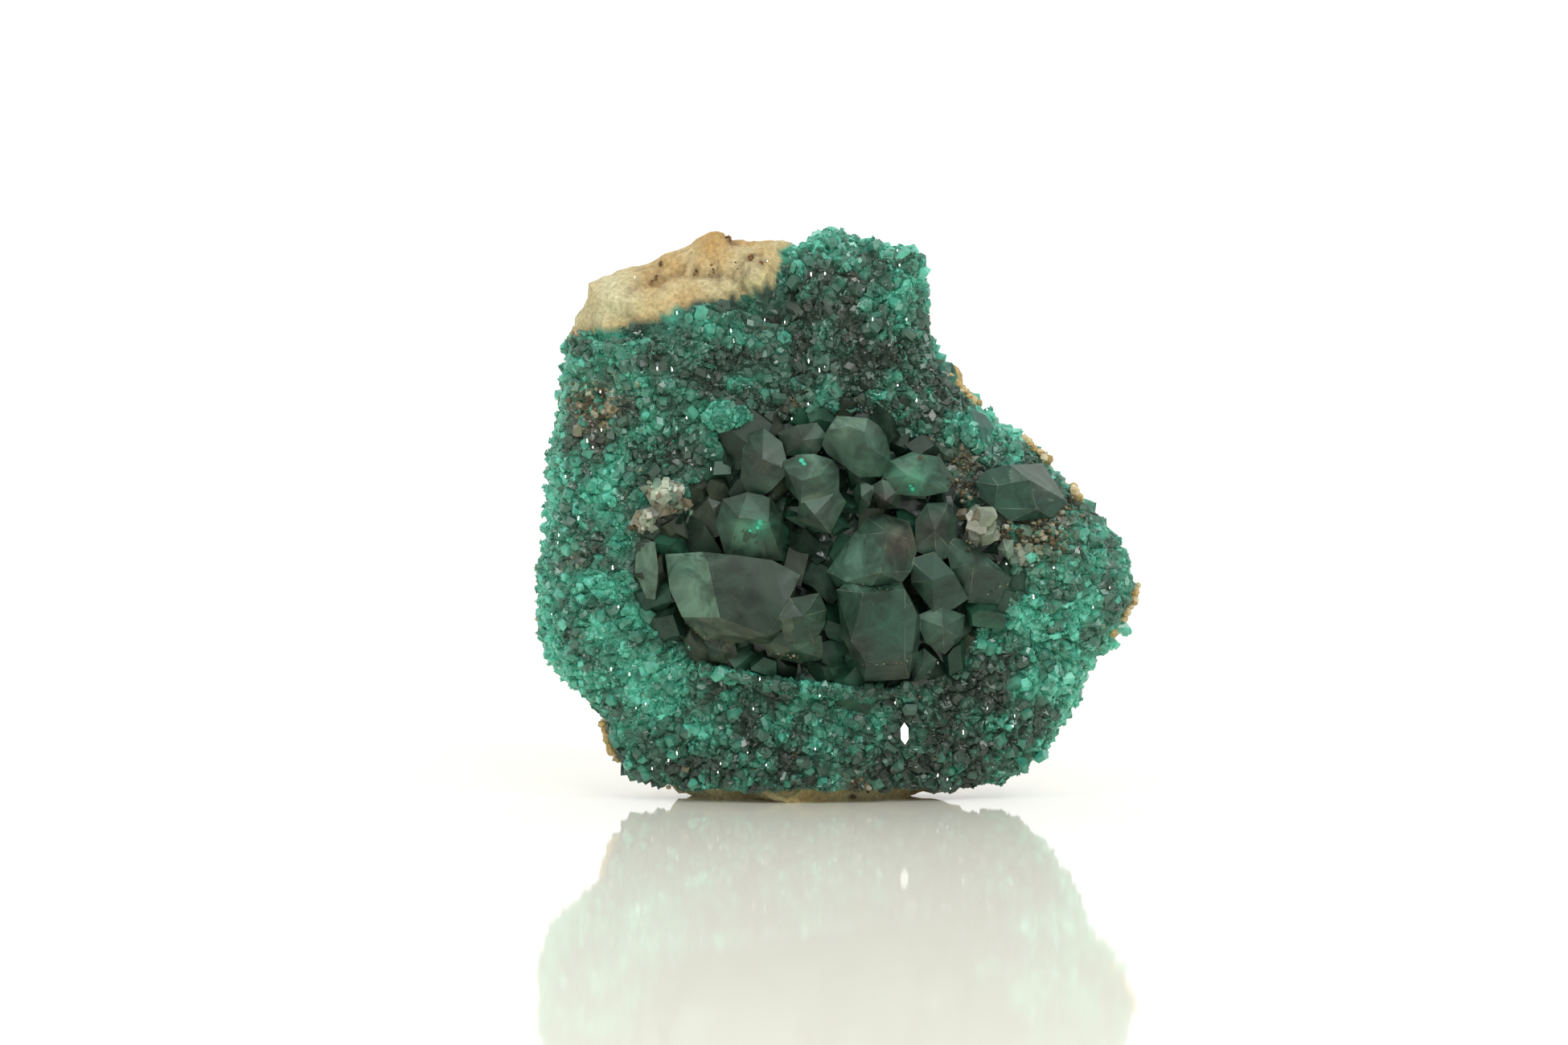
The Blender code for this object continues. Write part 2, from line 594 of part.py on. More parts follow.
def as_tool(bm, name):
    mesh = bpy.data.meshes.new(name)
    bm.to_mesh(mesh)
    bm.free()
    tool = bpy.data.objects.new(name, mesh)
    bpy.context.collection.objects.link(tool)
    tool.hide_render = True
    tool.display_type = "WIRE"
    return tool


def drop(tool):
    mesh = tool.data
    bpy.data.objects.remove(tool, do_unlink=True)
    bpy.data.meshes.remove(mesh)


def keep_main_body(made):
    """Drops splinters that a cut has parted from the crystal."""
    bm = bmesh.new()
    bm.from_mesh(made.data)
    bmesh.ops.remove_doubles(bm, verts=bm.verts, dist=0.00002)
    bmesh.ops.dissolve_degenerate(bm, edges=bm.edges, dist=0.00001)
    bodies = []
    left = set(bm.verts)
    while left:
        body = {left.pop()}
        front = list(body)
        while front:
            for edge in front.pop().link_edges:
                for other in edge.verts:
                    if other in left:
                        left.remove(other)
                        body.add(other)
                        front.append(other)
        bodies.append(body)
    bodies.sort(key=len)
    for body in bodies[:-1]:
        bmesh.ops.delete(bm, geom=list(body), context="VERTS")
    bmesh.ops.triangulate(bm, faces=bm.faces)
    bm.to_mesh(made.data)
    bm.free()


def crystal_group(name, members, neighbours, stone_tool, material):
    """Crystals grown together as one solid, parted from their neighbours and from the crust."""
    made = object_from(crystal_hull(members[0]), name, material)
    for corners in members[1:]:
        tool = as_tool(crystal_hull(corners), "member")
        cut_with(made, tool, "UNION")
        drop(tool)
    for corners in neighbours:
        tool = as_tool(crystal_hull(corners, CLEARANCE), "neighbour")
        cut_with(made, tool, "DIFFERENCE")
        drop(tool)
    cut_with(made, stone_tool, "DIFFERENCE")
    keep_main_body(made)
    return made


def stone_cutter(stone, under_crust):
    """The crust's outer face grown by the room to leave, closed by a cone to the heart."""
    bm, normals = open_skin(stone, under_crust)
    bm.normal_update()
    moved = [(vert, vert.co + vert.normal * ROOM) for vert in bm.verts]
    for vert, spot in moved:
        vert.co = spot
    heart = bm.verts.new((HEART_X, HEART_Y + 1.0, HEART_Z))
    for edge in [edge for edge in bm.edges if edge.is_boundary]:
        first, second = edge.verts
        if edge.link_loops[0].vert == first:
            first, second = second, first
        bm.faces.new([first, second, heart])
    bmesh.ops.scale(bm, vec=(MM, MM, MM), verts=bm.verts)
    return as_tool(bm, "stone_cutter")


def ledge_lip(crystals, stone_tool, material):
    """The thin lip below the large crystals, a bar of five-cornered section along its line."""
    bm = bmesh.new()
    rng = random.Random(5)
    stops = [LEDGE_LINE[0]]
    for start, end in zip(LEDGE_LINE, LEDGE_LINE[1:]):
        for step in range(1, LEDGE_STEPS + 1):
            stops.append(Vector(start).lerp(Vector(end), step / LEDGE_STEPS))
    rings = []
    for x, z, out in stops:
        skin = front_y(x, z)
        out = out * rng.uniform(0.75, 1.15)
        half = LEDGE_HALF_HEIGHT * rng.uniform(0.7, 1.3)
        z = z + rng.uniform(-0.15, 0.15)
        section = [
            (skin - out * 0.55, z + half), (skin - out, z + half * 0.3),
            (skin - out * 0.9, z - half * 0.6), (skin - out * 0.3, z - half * 1.5),
            (skin + ROOT_DEPTH, z - LEDGE_HALF_HEIGHT), (skin + ROOT_DEPTH, z + LEDGE_HALF_HEIGHT),
        ]
        rings.append([bm.verts.new(Vector((x, y, up)) * MM) for y, up in section])
    for one, two in zip(rings, rings[1:]):
        for i in range(len(one)):
            j = (i + 1) % len(one)
            bm.faces.new([one[i], one[j], two[j], two[i]])
    bm.faces.new(rings[0])
    bm.faces.new(rings[-1])
    bmesh.ops.triangulate(bm, faces=bm.faces)
    bmesh.ops.recalc_face_normals(bm, faces=bm.faces)
    made = object_from(bm, "ledge_lip", material)
    for corners in crystals:
        tool = as_tool(crystal_hull(corners, CLEARANCE), "neighbour")
        cut_with(made, tool, "DIFFERENCE")
        drop(tool)
    cut_with(made, stone_tool, "DIFFERENCE")
    keep_main_body(made)
    return made


def build():
    start_clean()
    tan = stone_material("tan rock", (0.62, 0.46, 0.27), 0.85)
    green = stone_material("green druse", (0.03, 0.26, 0.20), 0.35)
    dark = stone_material("dark dioptase", (0.03, 0.09, 0.07), 0.12, 0.3)
    teal = stone_material("teal dioptase", (0.05, 0.42, 0.34), 0.25, 0.2)
    pale = stone_material("pale calcite", (0.62, 0.66, 0.58), 0.3, 0.4)

    stone = stone_mesh()
    stone.faces.ensure_lookup_table()
    under_crust = {face.index for face in crust_faces(stone)}
    stone_tool = stone_cutter(stone, under_crust)

    upper = [TOP_CRYSTAL, CENTRE_CRYSTAL, CENTRE_POINT, UPPER_MIDDLE_CRYSTAL, UPPER_LEFT_CRYSTAL]
    upper += [UPPER_RIGHT_CRYSTAL, BROWN_CRYSTAL, SMALL_SHARD]
    left = [LEFT_GREAT_CRYSTAL, LEFT_UPPER_CRYSTAL, LEFT_HEX_CRYSTAL, LEFT_FOOT_CRYSTAL, LEFT_CORNER_CRYSTAL]
    right = [RIGHT_GREAT_CRYSTAL, RIGHT_TALL_CRYSTAL, RIGHT_MIDDLE_CRYSTAL, RIGHT_UPPER_CRYSTAL]
    right += [RIGHT_DARK_CRYSTAL, RIGHT_FOOT_CRYSTAL, RIGHT_CORNER_CRYSTAL]
    patch = [PALE_PATCH_UPPER, PALE_PATCH_LOWER]
    lobes = [TEAL_LOBE_LEFT, TEAL_LOBE_RIGHT]
    lower_left = [LEFT_FOOT_CRYSTAL, LEFT_CORNER_CRYSTAL, LEFT_GREAT_CRYSTAL]

    crystals = [
        crystal_group("upper_crystals", upper, [], stone_tool, dark),
        crystal_group("left_crystals", left, upper, stone_tool, dark),
        crystal_group("right_crystals", right, upper + left, stone_tool, dark),
        crystal_group("far_right_crystal", [FAR_RIGHT_CRYSTAL], right + [PALE_CRYSTAL], stone_tool, dark),
        crystal_group("left_blade", [LEFT_BLADE], [LEFT_GREAT_CRYSTAL] + patch, stone_tool, dark),
        crystal_group("teal_clump", lobes, [UPPER_LEFT_CRYSTAL], stone_tool, teal),
        crystal_group("teal_crystal", [TEAL_CRYSTAL], [], stone_tool, teal),
        crystal_group("pale_crystal", [PALE_CRYSTAL], right, stone_tool, pale),
        crystal_group("pale_shard", [PALE_SHARD], right + [PALE_CRYSTAL], stone_tool, pale),
        crystal_group("pale_patch", patch, [LEFT_GREAT_CRYSTAL], stone_tool, pale),
        ledge_lip(lower_left + [RIGHT_GREAT_CRYSTAL, RIGHT_CORNER_CRYSTAL], stone_tool, teal),
    ]
    drop(stone_tool)
    druse_crust(stone, under_crust, crystals, green)
    matrix_rock(stone, under_crust, tan)
    stone.free()


build()
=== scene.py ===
import math
import random

import bpy
import numpy as np
from mathutils import Matrix, Vector, noise
from mathutils.bvhtree import BVHTree
from mathutils.geometry import intersect_point_line


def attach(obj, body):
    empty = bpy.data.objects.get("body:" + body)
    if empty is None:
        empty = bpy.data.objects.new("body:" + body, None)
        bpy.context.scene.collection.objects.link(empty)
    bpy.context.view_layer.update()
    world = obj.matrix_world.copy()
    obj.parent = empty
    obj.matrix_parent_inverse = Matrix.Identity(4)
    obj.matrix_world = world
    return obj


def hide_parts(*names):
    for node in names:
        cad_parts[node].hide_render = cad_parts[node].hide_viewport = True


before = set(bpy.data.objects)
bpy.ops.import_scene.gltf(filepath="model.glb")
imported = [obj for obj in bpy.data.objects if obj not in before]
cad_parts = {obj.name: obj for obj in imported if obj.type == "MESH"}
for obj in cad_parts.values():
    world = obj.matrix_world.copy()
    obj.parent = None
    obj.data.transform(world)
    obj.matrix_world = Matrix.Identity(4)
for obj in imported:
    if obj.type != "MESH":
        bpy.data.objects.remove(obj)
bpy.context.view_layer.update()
mm = 0.001
print("frame loaded:", len(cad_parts), "nodes")

# Places are read off the 1950 by 1300 picture: one pixel is 0.0665 mm at the specimen's front,
# "middle" is the pixel column of x = 0 and "ground" the row of z = 0.
picture = {"wide": 1950, "high": 1300, "pixel": 0.0665 * mm, "middle": 975, "ground": 995}
heart = Vector((1.7, -0.8, 23.0)) * mm  # the middle of the stone
halfSquares = (625, 72, 576)  # the squares of the stone's half width, depth and height in millimetres


def spotAt(px, py):
    return (px - picture["middle"]) * picture["pixel"], (picture["ground"] - py) * picture["pixel"]


def pixelAt(spot):
    return picture["middle"] + spot.x / picture["pixel"], picture["ground"] - spot.z / picture["pixel"]


def pixelsAway(spot, px, py):
    x, z = spotAt(px, py)
    return math.hypot(spot.x - x, spot.z - z) / picture["pixel"]


def near(spot, px, py, reach):
    return math.exp(-(pixelsAway(spot, px, py) / reach) ** 2)


# Where the outline is drawn in or out to match the picture: pixel across and down, reach, and the move
# across and down in pixels
outlineMoves = [
    (1120, 306, 36, 25, -8), (1180, 412, 44, -21, 4), (1252, 518, 32, -9, 11), (1312, 586, 34, -6, 6),
    (1372, 838, 34, -13, 0), (784, 968, 28, -12, 5), (886, 302, 24, 0, -9), (1060, 285, 26, 0, 3),
    (672, 640, 40, 4, 0),
]


def evened(spot):
    moved = Vector(spot)
    for px, py, reach, across, down in outlineMoves:
        moved += Vector((across, 0, -down)) * picture["pixel"] * near(spot, px, py, reach)
    return moved


# A colour as it is on screen, from 0 to 255, made linear
def screenColor(red, green, blue):
    return Vector([((part / 255 + 0.055) / 1.055) ** 2.4 for part in (red, green, blue)])


def deselect():
    bpy.ops.object.select_all(action="DESELECT")


def selectVerts(piece, test):
    deselect()
    piece.select_set(True)
    bpy.context.view_layer.objects.active = piece
    bpy.ops.object.mode_set(mode="EDIT")
    bpy.ops.mesh.select_mode(type="VERT")
    bpy.ops.mesh.select_all(action="DESELECT")
    bpy.ops.object.mode_set(mode="OBJECT")
    for vert in piece.data.vertices:
        vert.select = test(vert.co)
    bpy.ops.object.mode_set(mode="EDIT")


def editAll(tool, **settings):
    bpy.ops.object.mode_set(mode="EDIT")
    bpy.ops.mesh.select_all(action="SELECT")
    tool(**settings)
    bpy.ops.object.mode_set(mode="OBJECT")


def newMaterial(name):
    material = bpy.data.materials.new(name)
    material.use_nodes = True
    return material, material.node_tree.nodes["Principled BSDF"]


def setInputs(node, values):
    for label, value in values.items():
        node.inputs[label].default_value = value


def addNode(nodes, kind, values, **settings):
    node = nodes.new("ShaderNode" + kind)
    for label, value in settings.items():
        setattr(node, label, value)
    setInputs(node, values)
    return node


# Camera, at the photograph's low front view
camera = {"lens": 100.0, "sensor": 36.0, "rise": math.radians(3.0), "frontY": -7.0 * mm,
          "aside": -0.35 * mm, "lift": 0.25 * mm, "closer": 0.99}


def addCamera():
    away = camera["lens"] * picture["wide"] * picture["pixel"] / camera["sensor"] * camera["closer"]
    aimX, aimZ = spotAt(picture["wide"] / 2, picture["high"] / 2)
    aim = Vector((aimX + camera["aside"], camera["frontY"], aimZ + camera["lift"]))
    spot = aim + Vector((0, -math.cos(camera["rise"]), math.sin(camera["rise"]))) * away
    bpy.ops.object.camera_add(location=spot)
    eye = bpy.context.object
    eye.rotation_euler = (aim - spot).to_track_quat("-Z", "Y").to_euler()
    eye.data.lens = camera["lens"]
    eye.data.sensor_width = camera["sensor"]
    eye.data.clip_start = 0.01
    bpy.context.scene.camera = eye
    print("camera stands", round(away, 3), "m from the front")


# Studio: white behind and below, a dim room in front, small strong lights that make the glints
studio = {
    "backdrop": 1.15, "room": 0.48, "turnFrom": -0.05, "turnTo": 0.35,
    "sunFrom": (0.10, -0.70, 1.0), "sunStrength": 0.85, "sunAngle": math.radians(70),
    "lights": {
        # name: place, size, watts
        "leftLight": ((-0.30, -0.34, 0.28), 0.08, 0.50),
        "rightLight": ((0.30, -0.30, 0.34), 0.08, 0.50),
        "frontLight": ((0.10, -0.46, 0.36), 0.07, 0.40),
    },
    "aim": (0, -0.004, 0.022), "floorSize": 6.0,
    "floorColor": (0.92, 0.91, 0.80, 1.0), "floorRoughness": 0.05, "floorIor": 1.30,
}


def addWorld():
    world = bpy.data.worlds.new("studioWorld")
    bpy.context.scene.world = world
    world.use_nodes = True
    nodes, links = world.node_tree.nodes, world.node_tree.links
    place = addNode(nodes, "TexCoord", {})
    split = addNode(nodes, "SeparateXYZ", {})
    turn = addNode(nodes, "MapRange", {
        "From Min": studio["turnFrom"], "From Max": studio["turnTo"],
        "To Min": studio["room"], "To Max": studio["backdrop"],
    })
    path = addNode(nodes, "LightPath", {})
    strength = addNode(nodes, "Math", {}, operation="MAXIMUM")
    surround = nodes["Background"]
    surround.inputs["Color"].default_value = (1, 1, 1, 1)
    links.new(place.outputs["Generated"], split.inputs["Vector"])
    links.new(split.outputs["Y"], turn.inputs["Value"])
    links.new(turn.outputs["Result"], strength.inputs[0])
    links.new(path.outputs["Is Camera Ray"], strength.inputs[1])
    links.new(strength.outputs[0], surround.inputs["Strength"])


def addStudio():
    addWorld()
    bpy.ops.object.light_add(type="SUN", location=studio["sunFrom"])
    sun = bpy.context.object
    sun.name = "topLight"
    sun.data.energy = studio["sunStrength"]
    sun.data.angle = studio["sunAngle"]
    sun.rotation_euler = (-Vector(studio["sunFrom"])).to_track_quat("-Z", "Y").to_euler()
    aim = Vector(studio["aim"])
    for name, (place, size, watts) in studio["lights"].items():
        bpy.ops.object.light_add(type="AREA", location=place)
        light = bpy.context.object
        light.name = name
        light.data.shape = "SQUARE"
        light.data.size = size
        light.data.energy = watts
        light.rotation_euler = (aim - Vector(place)).to_track_quat("-Z", "Y").to_euler()
    bpy.ops.mesh.primitive_plane_add(size=studio["floorSize"], location=(0, 0, 0))
    floor = bpy.context.object
    floor.name = "floor"
    material, shader = newMaterial("floorWhite")
    setInputs(shader, {
        "Base Color": studio["floorColor"], "Roughness": studio["floorRoughness"], "IOR": studio["floorIor"],
    })
    floor.data.materials.append(material)
    bpy.context.scene.view_settings.view_transform = "Standard"
    print("studio ready with", len(studio["lights"]) + 1, "lights")


def newGroup(name, inputs, outputs):
    group = bpy.data.node_groups.new(name, "ShaderNodeTree")
    for label, kind, value in inputs:
        socket = group.interface.new_socket(label, in_out="INPUT", socket_type=kind)
        socket.default_value = value
    for label, kind in outputs:
        group.interface.new_socket(label, in_out="OUTPUT", socket_type=kind)
    return group, group.nodes.new("NodeGroupInput"), group.nodes.new("NodeGroupOutput")


# Shared effect: a colour broken up by a fine cloud
def makeSpeckle():
    group, start, end = newGroup(
        "speckle",
        [("Color", "NodeSocketColor", (0.5, 0.5, 0.5, 1)), ("Scale", "NodeSocketFloat", 1500.0),
         ("Amount", "NodeSocketFloat", 0.3)],
        [("Color", "NodeSocketColor"), ("Mask", "NodeSocketFloat")])
    nodes, links = group.nodes, group.links
    place = addNode(nodes, "TexCoord", {})
    cloud = addNode(nodes, "TexNoise", {"Detail": 5.0, "Roughness": 0.65})
    span = addNode(nodes, "MapRange", {"From Min": 0.3, "From Max": 0.7})
    low = addNode(nodes, "Math", {0: 1.0}, operation="SUBTRACT")
    high = addNode(nodes, "Math", {0: 1.0}, operation="ADD")
    tone = addNode(nodes, "MapRange", {})
    shade = addNode(nodes, "Mix", {"Factor": 1.0}, data_type="RGBA", blend_type="MULTIPLY")
    links.new(place.outputs["Object"], cloud.inputs["Vector"])
    links.new(start.outputs["Scale"], cloud.inputs["Scale"])
    links.new(cloud.outputs["Fac"], span.inputs["Value"])
    links.new(start.outputs["Amount"], low.inputs[1])
    links.new(start.outputs["Amount"], high.inputs[1])
    links.new(span.outputs["Result"], tone.inputs["Value"])
    links.new(low.outputs[0], tone.inputs["To Min"])
    links.new(high.outputs[0], tone.inputs["To Max"])
    links.new(start.outputs["Color"], shade.inputs["A"])
    links.new(tone.outputs["Result"], shade.inputs["B"])
    links.new(shade.outputs["Result"], end.inputs["Color"])
    links.new(span.outputs["Result"], end.inputs["Mask"])
    return group


# Shared effect: milky veils inside a crystal, and low growth marks on its faces
def makeGrowth():
    group, start, end = newGroup(
        "growthMarks",
        [("Scale", "NodeSocketFloat", 300.0), ("Steps", "NodeSocketFloat", 900.0)],
        [("Veil", "NodeSocketFloat"), ("Height", "NodeSocketFloat")])
    nodes, links = group.nodes, group.links
    place = addNode(nodes, "TexCoord", {})
    veil = addNode(nodes, "TexNoise", {"Detail": 6.0, "Roughness": 0.62, "Distortion": 0.8})
    span = addNode(nodes, "MapRange", {"From Min": 0.38, "From Max": 0.64})
    steps = addNode(nodes, "TexVoronoi", {})
    cells = addNode(nodes, "TexNoise", {"Detail": 4.0})
    add = addNode(nodes, "Math", {}, operation="ADD")
    links.new(place.outputs["Object"], veil.inputs["Vector"])
    links.new(place.outputs["Object"], steps.inputs["Vector"])
    links.new(place.outputs["Object"], cells.inputs["Vector"])
    links.new(start.outputs["Scale"], veil.inputs["Scale"])
    links.new(start.outputs["Steps"], steps.inputs["Scale"])
    links.new(start.outputs["Steps"], cells.inputs["Scale"])
    links.new(veil.outputs["Fac"], span.inputs["Value"])
    links.new(steps.outputs["Distance"], add.inputs[0])
    links.new(cells.outputs["Fac"], add.inputs[1])
    links.new(span.outputs["Result"], end.inputs["Veil"])
    links.new(add.outputs[0], end.inputs["Height"])
    return group


def addBump(material, shader, source, strength, distance):
    bump = addNode(material.node_tree.nodes, "Bump", {"Strength": strength, "Distance": distance})
    material.node_tree.links.new(source, bump.inputs["Height"])
    material.node_tree.links.new(bump.outputs["Normal"], shader.inputs["Normal"])


def addTint(material):
    return addNode(material.node_tree.nodes, "Attribute", {}, attribute_name="tint").outputs["Color"]


# Finishes. Each piece carries its own colours in the attribute "tint".
# Crystals pass part of the light ("clear") and turn milky where the veils are.
growthScales = {"Scale": 420.0, "Steps": 1500.0}
bumpDepths = {"crystal": 0.05 * mm, "grain": 0.1 * mm}
finishes = {
    "bigCrystal": {
        "roughness": 0.33, "veilRough": 0.15, "ior": 1.66, "clear": 0.35, "veil": 1.8, "bump": 0.02,
        "shine": 0.25, "shineTint": (0.74, 0.92, 0.80, 1),
    },
    "paleCrystal": {
        "roughness": 0.26, "veilRough": 0.2, "ior": 1.55, "clear": 0.30, "veil": 1.35, "bump": 0.15,
        "shine": 0.4, "shineTint": (1, 1, 1, 1),
    },
    "druse": {"roughness": 0.28, "ior": 1.60, "clear": 0.15, "scale": 1500.0, "amount": 0.35, "bump": 0.06},
    "glint": {"roughness": 0.05, "ior": 1.66, "clear": 0.0, "scale": 1800.0, "amount": 0.0, "bump": 0.0},
    "hostRock": {"roughness": 0.85, "ior": 1.45, "clear": 0.0, "scale": 2600.0, "amount": 0.35, "bump": 0.5},
}


def crystalMaterial(name, growth):
    look = finishes[name]
    material, shader = newMaterial(name)
    nodes, links = material.node_tree.nodes, material.node_tree.links
    marks = addNode(nodes, "Group", growthScales, node_tree=growth)
    tone = addNode(nodes, "MapRange", {"To Min": 1.0 / look["veil"], "To Max": look["veil"]})
    color = addNode(nodes, "Mix", {"Factor": 1.0}, data_type="RGBA", blend_type="MULTIPLY")
    roughest = look["roughness"] + look["veilRough"]
    rough = addNode(nodes, "MapRange", {"To Min": look["roughness"], "To Max": roughest})
    links.new(addTint(material), color.inputs["A"])
    links.new(marks.outputs["Veil"], tone.inputs["Value"])
    links.new(tone.outputs["Result"], color.inputs["B"])
    links.new(marks.outputs["Veil"], rough.inputs["Value"])
    links.new(color.outputs["Result"], shader.inputs["Base Color"])
    links.new(rough.outputs["Result"], shader.inputs["Roughness"])
    setInputs(shader, {
        "IOR": look["ior"], "Transmission Weight": look["clear"], "Specular IOR Level": look["shine"],
        "Specular Tint": look["shineTint"],
    })
    addBump(material, shader, marks.outputs["Height"], look["bump"], bumpDepths["crystal"])
    return material


def speckledMaterial(name, speckle):
    look = finishes[name]
    material, shader = newMaterial(name)
    nodes, links = material.node_tree.nodes, material.node_tree.links
    amounts = {"Scale": look["scale"], "Amount": look["amount"]}
    spots = addNode(nodes, "Group", amounts, node_tree=speckle)
    links.new(addTint(material), spots.inputs["Color"])
    links.new(spots.outputs["Color"], shader.inputs["Base Color"])
    setInputs(shader, {
        "Roughness": look["roughness"], "IOR": look["ior"], "Transmission Weight": look["clear"],
    })
    addBump(material, shader, spots.outputs["Mask"], look["bump"], bumpDepths["grain"])
    return material


# Colours of the druse, from dark green to pale teal, with brown and tan grains, and painted backlight that
# makes the crystals paler at the silhouette and along the lit edges.
# A zone is pixel across and down, radius in pixels, and how far it shifts the tone.
druseTone = {
    "stops": [(0.034, 0.054, 0.040), (0.052, 0.150, 0.105), (0.058, 0.335, 0.225), (0.14, 0.62, 0.45)],
    "brown": (0.085, 0.058, 0.040), "tan": (0.42, 0.30, 0.17),
    # Painted backlight: crystals that face sideways, at the silhouette, are painted paler
    "start": 0.30, "top": 1.15, "rimFacing": 0.75, "backlitRimGlow": 0.55,
    # painted backlight: along the lit edge of the stone the crystals are painted palest: points along it,
    # reach and lift
    "edges": [
        ((975, 300), (1012, 290), (1040, 284), (1090, 292), (1130, 304), (1145, 318), (1147, 350),
         (1155, 392), (1170, 436)),
        ((1206, 500), (1240, 520), (1262, 540)),
        ((1400, 790), (1368, 815), (1356, 842), (1335, 868), (1330, 895), (1308, 925), (1288, 955)),
        ((704, 450), (690, 510), (682, 560), (680, 620), (668, 670), (666, 760), (674, 812), (692, 845),
         (728, 868)),
    ],
    "edgeReach": 14, "paintedEdgeGlow": 0.52,
    "patches": [(1.0 * mm, 0.20), (2.1 * mm, 0.58), (4.5 * mm, 0.22)], "spread": 0.03,
    # Some zones paint light and shade: the lobe at the right, the ridge at the lower left and the top of the
    # ledge under the cluster are painted lighter, the hollow at the lower right and the middle round the
    # cluster painted darker
    "zones": [
        (1315, 760, 105, 0.22), (765, 810, 85, 0.28), (1040, 450, 130, -0.28),
        (788, 785, 40, 0.16), (812, 848, 42, 0.26), (1200, 880, 85, -0.36),
        (870, 955, 110, -0.19), (745, 620, 40, 0.28), (1043, 887, 32, 0.32), (995, 877, 30, 0.25),
        (877, 882, 40, 0.18), (1220, 540, 36, 0.25), (1102, 373, 20, 0.50), (770, 437, 40, 0.25),
        (963, 464, 40, 0.22), (1273, 828, 38, 0.22), (1316, 866, 34, 0.28), (1000, 700, 190, -0.16),
        (710, 700, 50, 0.18), (900, 460, 60, -0.10), (1130, 960, 80, -0.10), (1060, 310, 60, 0.08),
        (895, 823, 12, 0.22), (940, 829, 12, 0.20), (990, 835, 12, 0.22), (1042, 842, 15, 0.34),
        (900, 518, 30, 0.75), (1208, 528, 20, 0.30), (832, 525, 26, 0.25), (755, 605, 22, 0.30),
    ],
    "brownSpots": [
        (735, 505, 36, 0.75), (1285, 655, 44, 0.55), (1184, 574, 24, 0.5), (1192, 606, 18, 0.5),
        (1250, 660, 20, 0.5), (1062, 978, 22, 0.7), (985, 505, 14, 0.35), (1088, 512, 12, 0.35),
        (820, 655, 26, 0.35), (712, 690, 16, 0.35), (1240, 640, 18, 0.3),
    ],
    "brownChance": 0.7, "brownAmount": 1.3, "loneBrown": 0.006, "loneAmount": 0.6,
}


def druseColor(rng, spot, outward):
    tone = druseTone["start"]
    for px, py, reach, change in druseTone["zones"]:
        tone += change * near(spot, px, py, reach)
    # Painted backlight: paler where a crystal faces sideways, and near the lit edges
    facing = max(0.0, -outward.y)
    tone += druseTone["backlitRimGlow"] * max(0.0, 1.0 - facing / druseTone["rimFacing"])
    fromEdge = min(pixelsFromLine(spot, line) for line in druseTone["edges"])
    tone += druseTone["paintedEdgeGlow"] * math.exp(-(fromEdge / druseTone["edgeReach"]) ** 2)
    for size, amount in druseTone["patches"]:
        tone += amount * noise.noise(spot / size)
    tone += rng.gauss(0.0, druseTone["spread"])
    stops = druseTone["stops"]
    share = max(0.0, min(druseTone["top"], tone)) * (len(stops) - 1) / druseTone["top"]
    step = min(len(stops) - 2, int(share))
    color = Vector(stops[step]).lerp(Vector(stops[step + 1]), share - step)
    brown = 0.0
    for px, py, reach, change in druseTone["brownSpots"]:
        brown = max(brown, change * near(spot, px, py, reach))
    brown = brown * druseTone["brownAmount"] if rng.random() < druseTone["brownChance"] else 0.0
    if rng.random() < druseTone["loneBrown"]:
        brown = druseTone["loneAmount"]
    earth = Vector(druseTone["brown"]).lerp(Vector(druseTone["tan"]), rng.random() ** 2)
    return color.lerp(earth, min(1.0, brown))


# One dioptase crystal: a six-sided prism under three sloping faces, one unit wide from its middle
oneCrystal = {
    "prism": 1.7, "slope": 0.62, "sink": 1.2, "slack": 0.01, "middle": 0.1, "rim": 0.5, "turn": 0.1,
}


def modelCrystal():
    prism, slope, sink = oneCrystal["prism"], oneCrystal["slope"], oneCrystal["sink"]
    deselect()
    bpy.ops.mesh.primitive_cylinder_add(
        vertices=6, radius=1.0, depth=prism, end_fill_type="TRIFAN", location=(0, 0, prism / 2 - sink))
    piece = bpy.context.object
    bpy.ops.object.transform_apply(location=True, rotation=True, scale=True)
    top = prism - sink - oneCrystal["slack"]
    third = math.tau / 3

    def isLow(co):
        turn = (math.atan2(co.y, co.x) - math.pi / 2) % third
        return min(turn, third - turn) < oneCrystal["turn"]

    selectVerts(piece, lambda co: co.z > top and co.xy.length < oneCrystal["middle"])
    bpy.ops.transform.translate(value=(0, 0, slope))
    bpy.ops.object.mode_set(mode="OBJECT")
    selectVerts(piece, lambda co: co.z > top and co.xy.length > oneCrystal["rim"] and not isLow(co))
    bpy.ops.transform.translate(value=(0, 0, slope / 2))
    editAll(bpy.ops.mesh.normals_make_consistent, inside=False)
    return takeShape(piece)


# The three sloping faces alone, for the finest crystals
fineTip = {"tall": 0.75, "lift": 0.1}


def modelTip():
    deselect()
    middle = (0, 0, fineTip["lift"])
    bpy.ops.mesh.primitive_cone_add(
        vertices=3, radius1=1.0, depth=fineTip["tall"], end_fill_type="NGON", location=middle)
    bpy.ops.object.transform_apply(location=True, rotation=True, scale=True)
    return takeShape(bpy.context.object)


# A broken prism: a crystal with corners split off along flat planes
shard = {"shapes": 5, "splits": 4, "long": 2.6, "tilt": 0.6, "splitAt": (0.55, 1.0)}


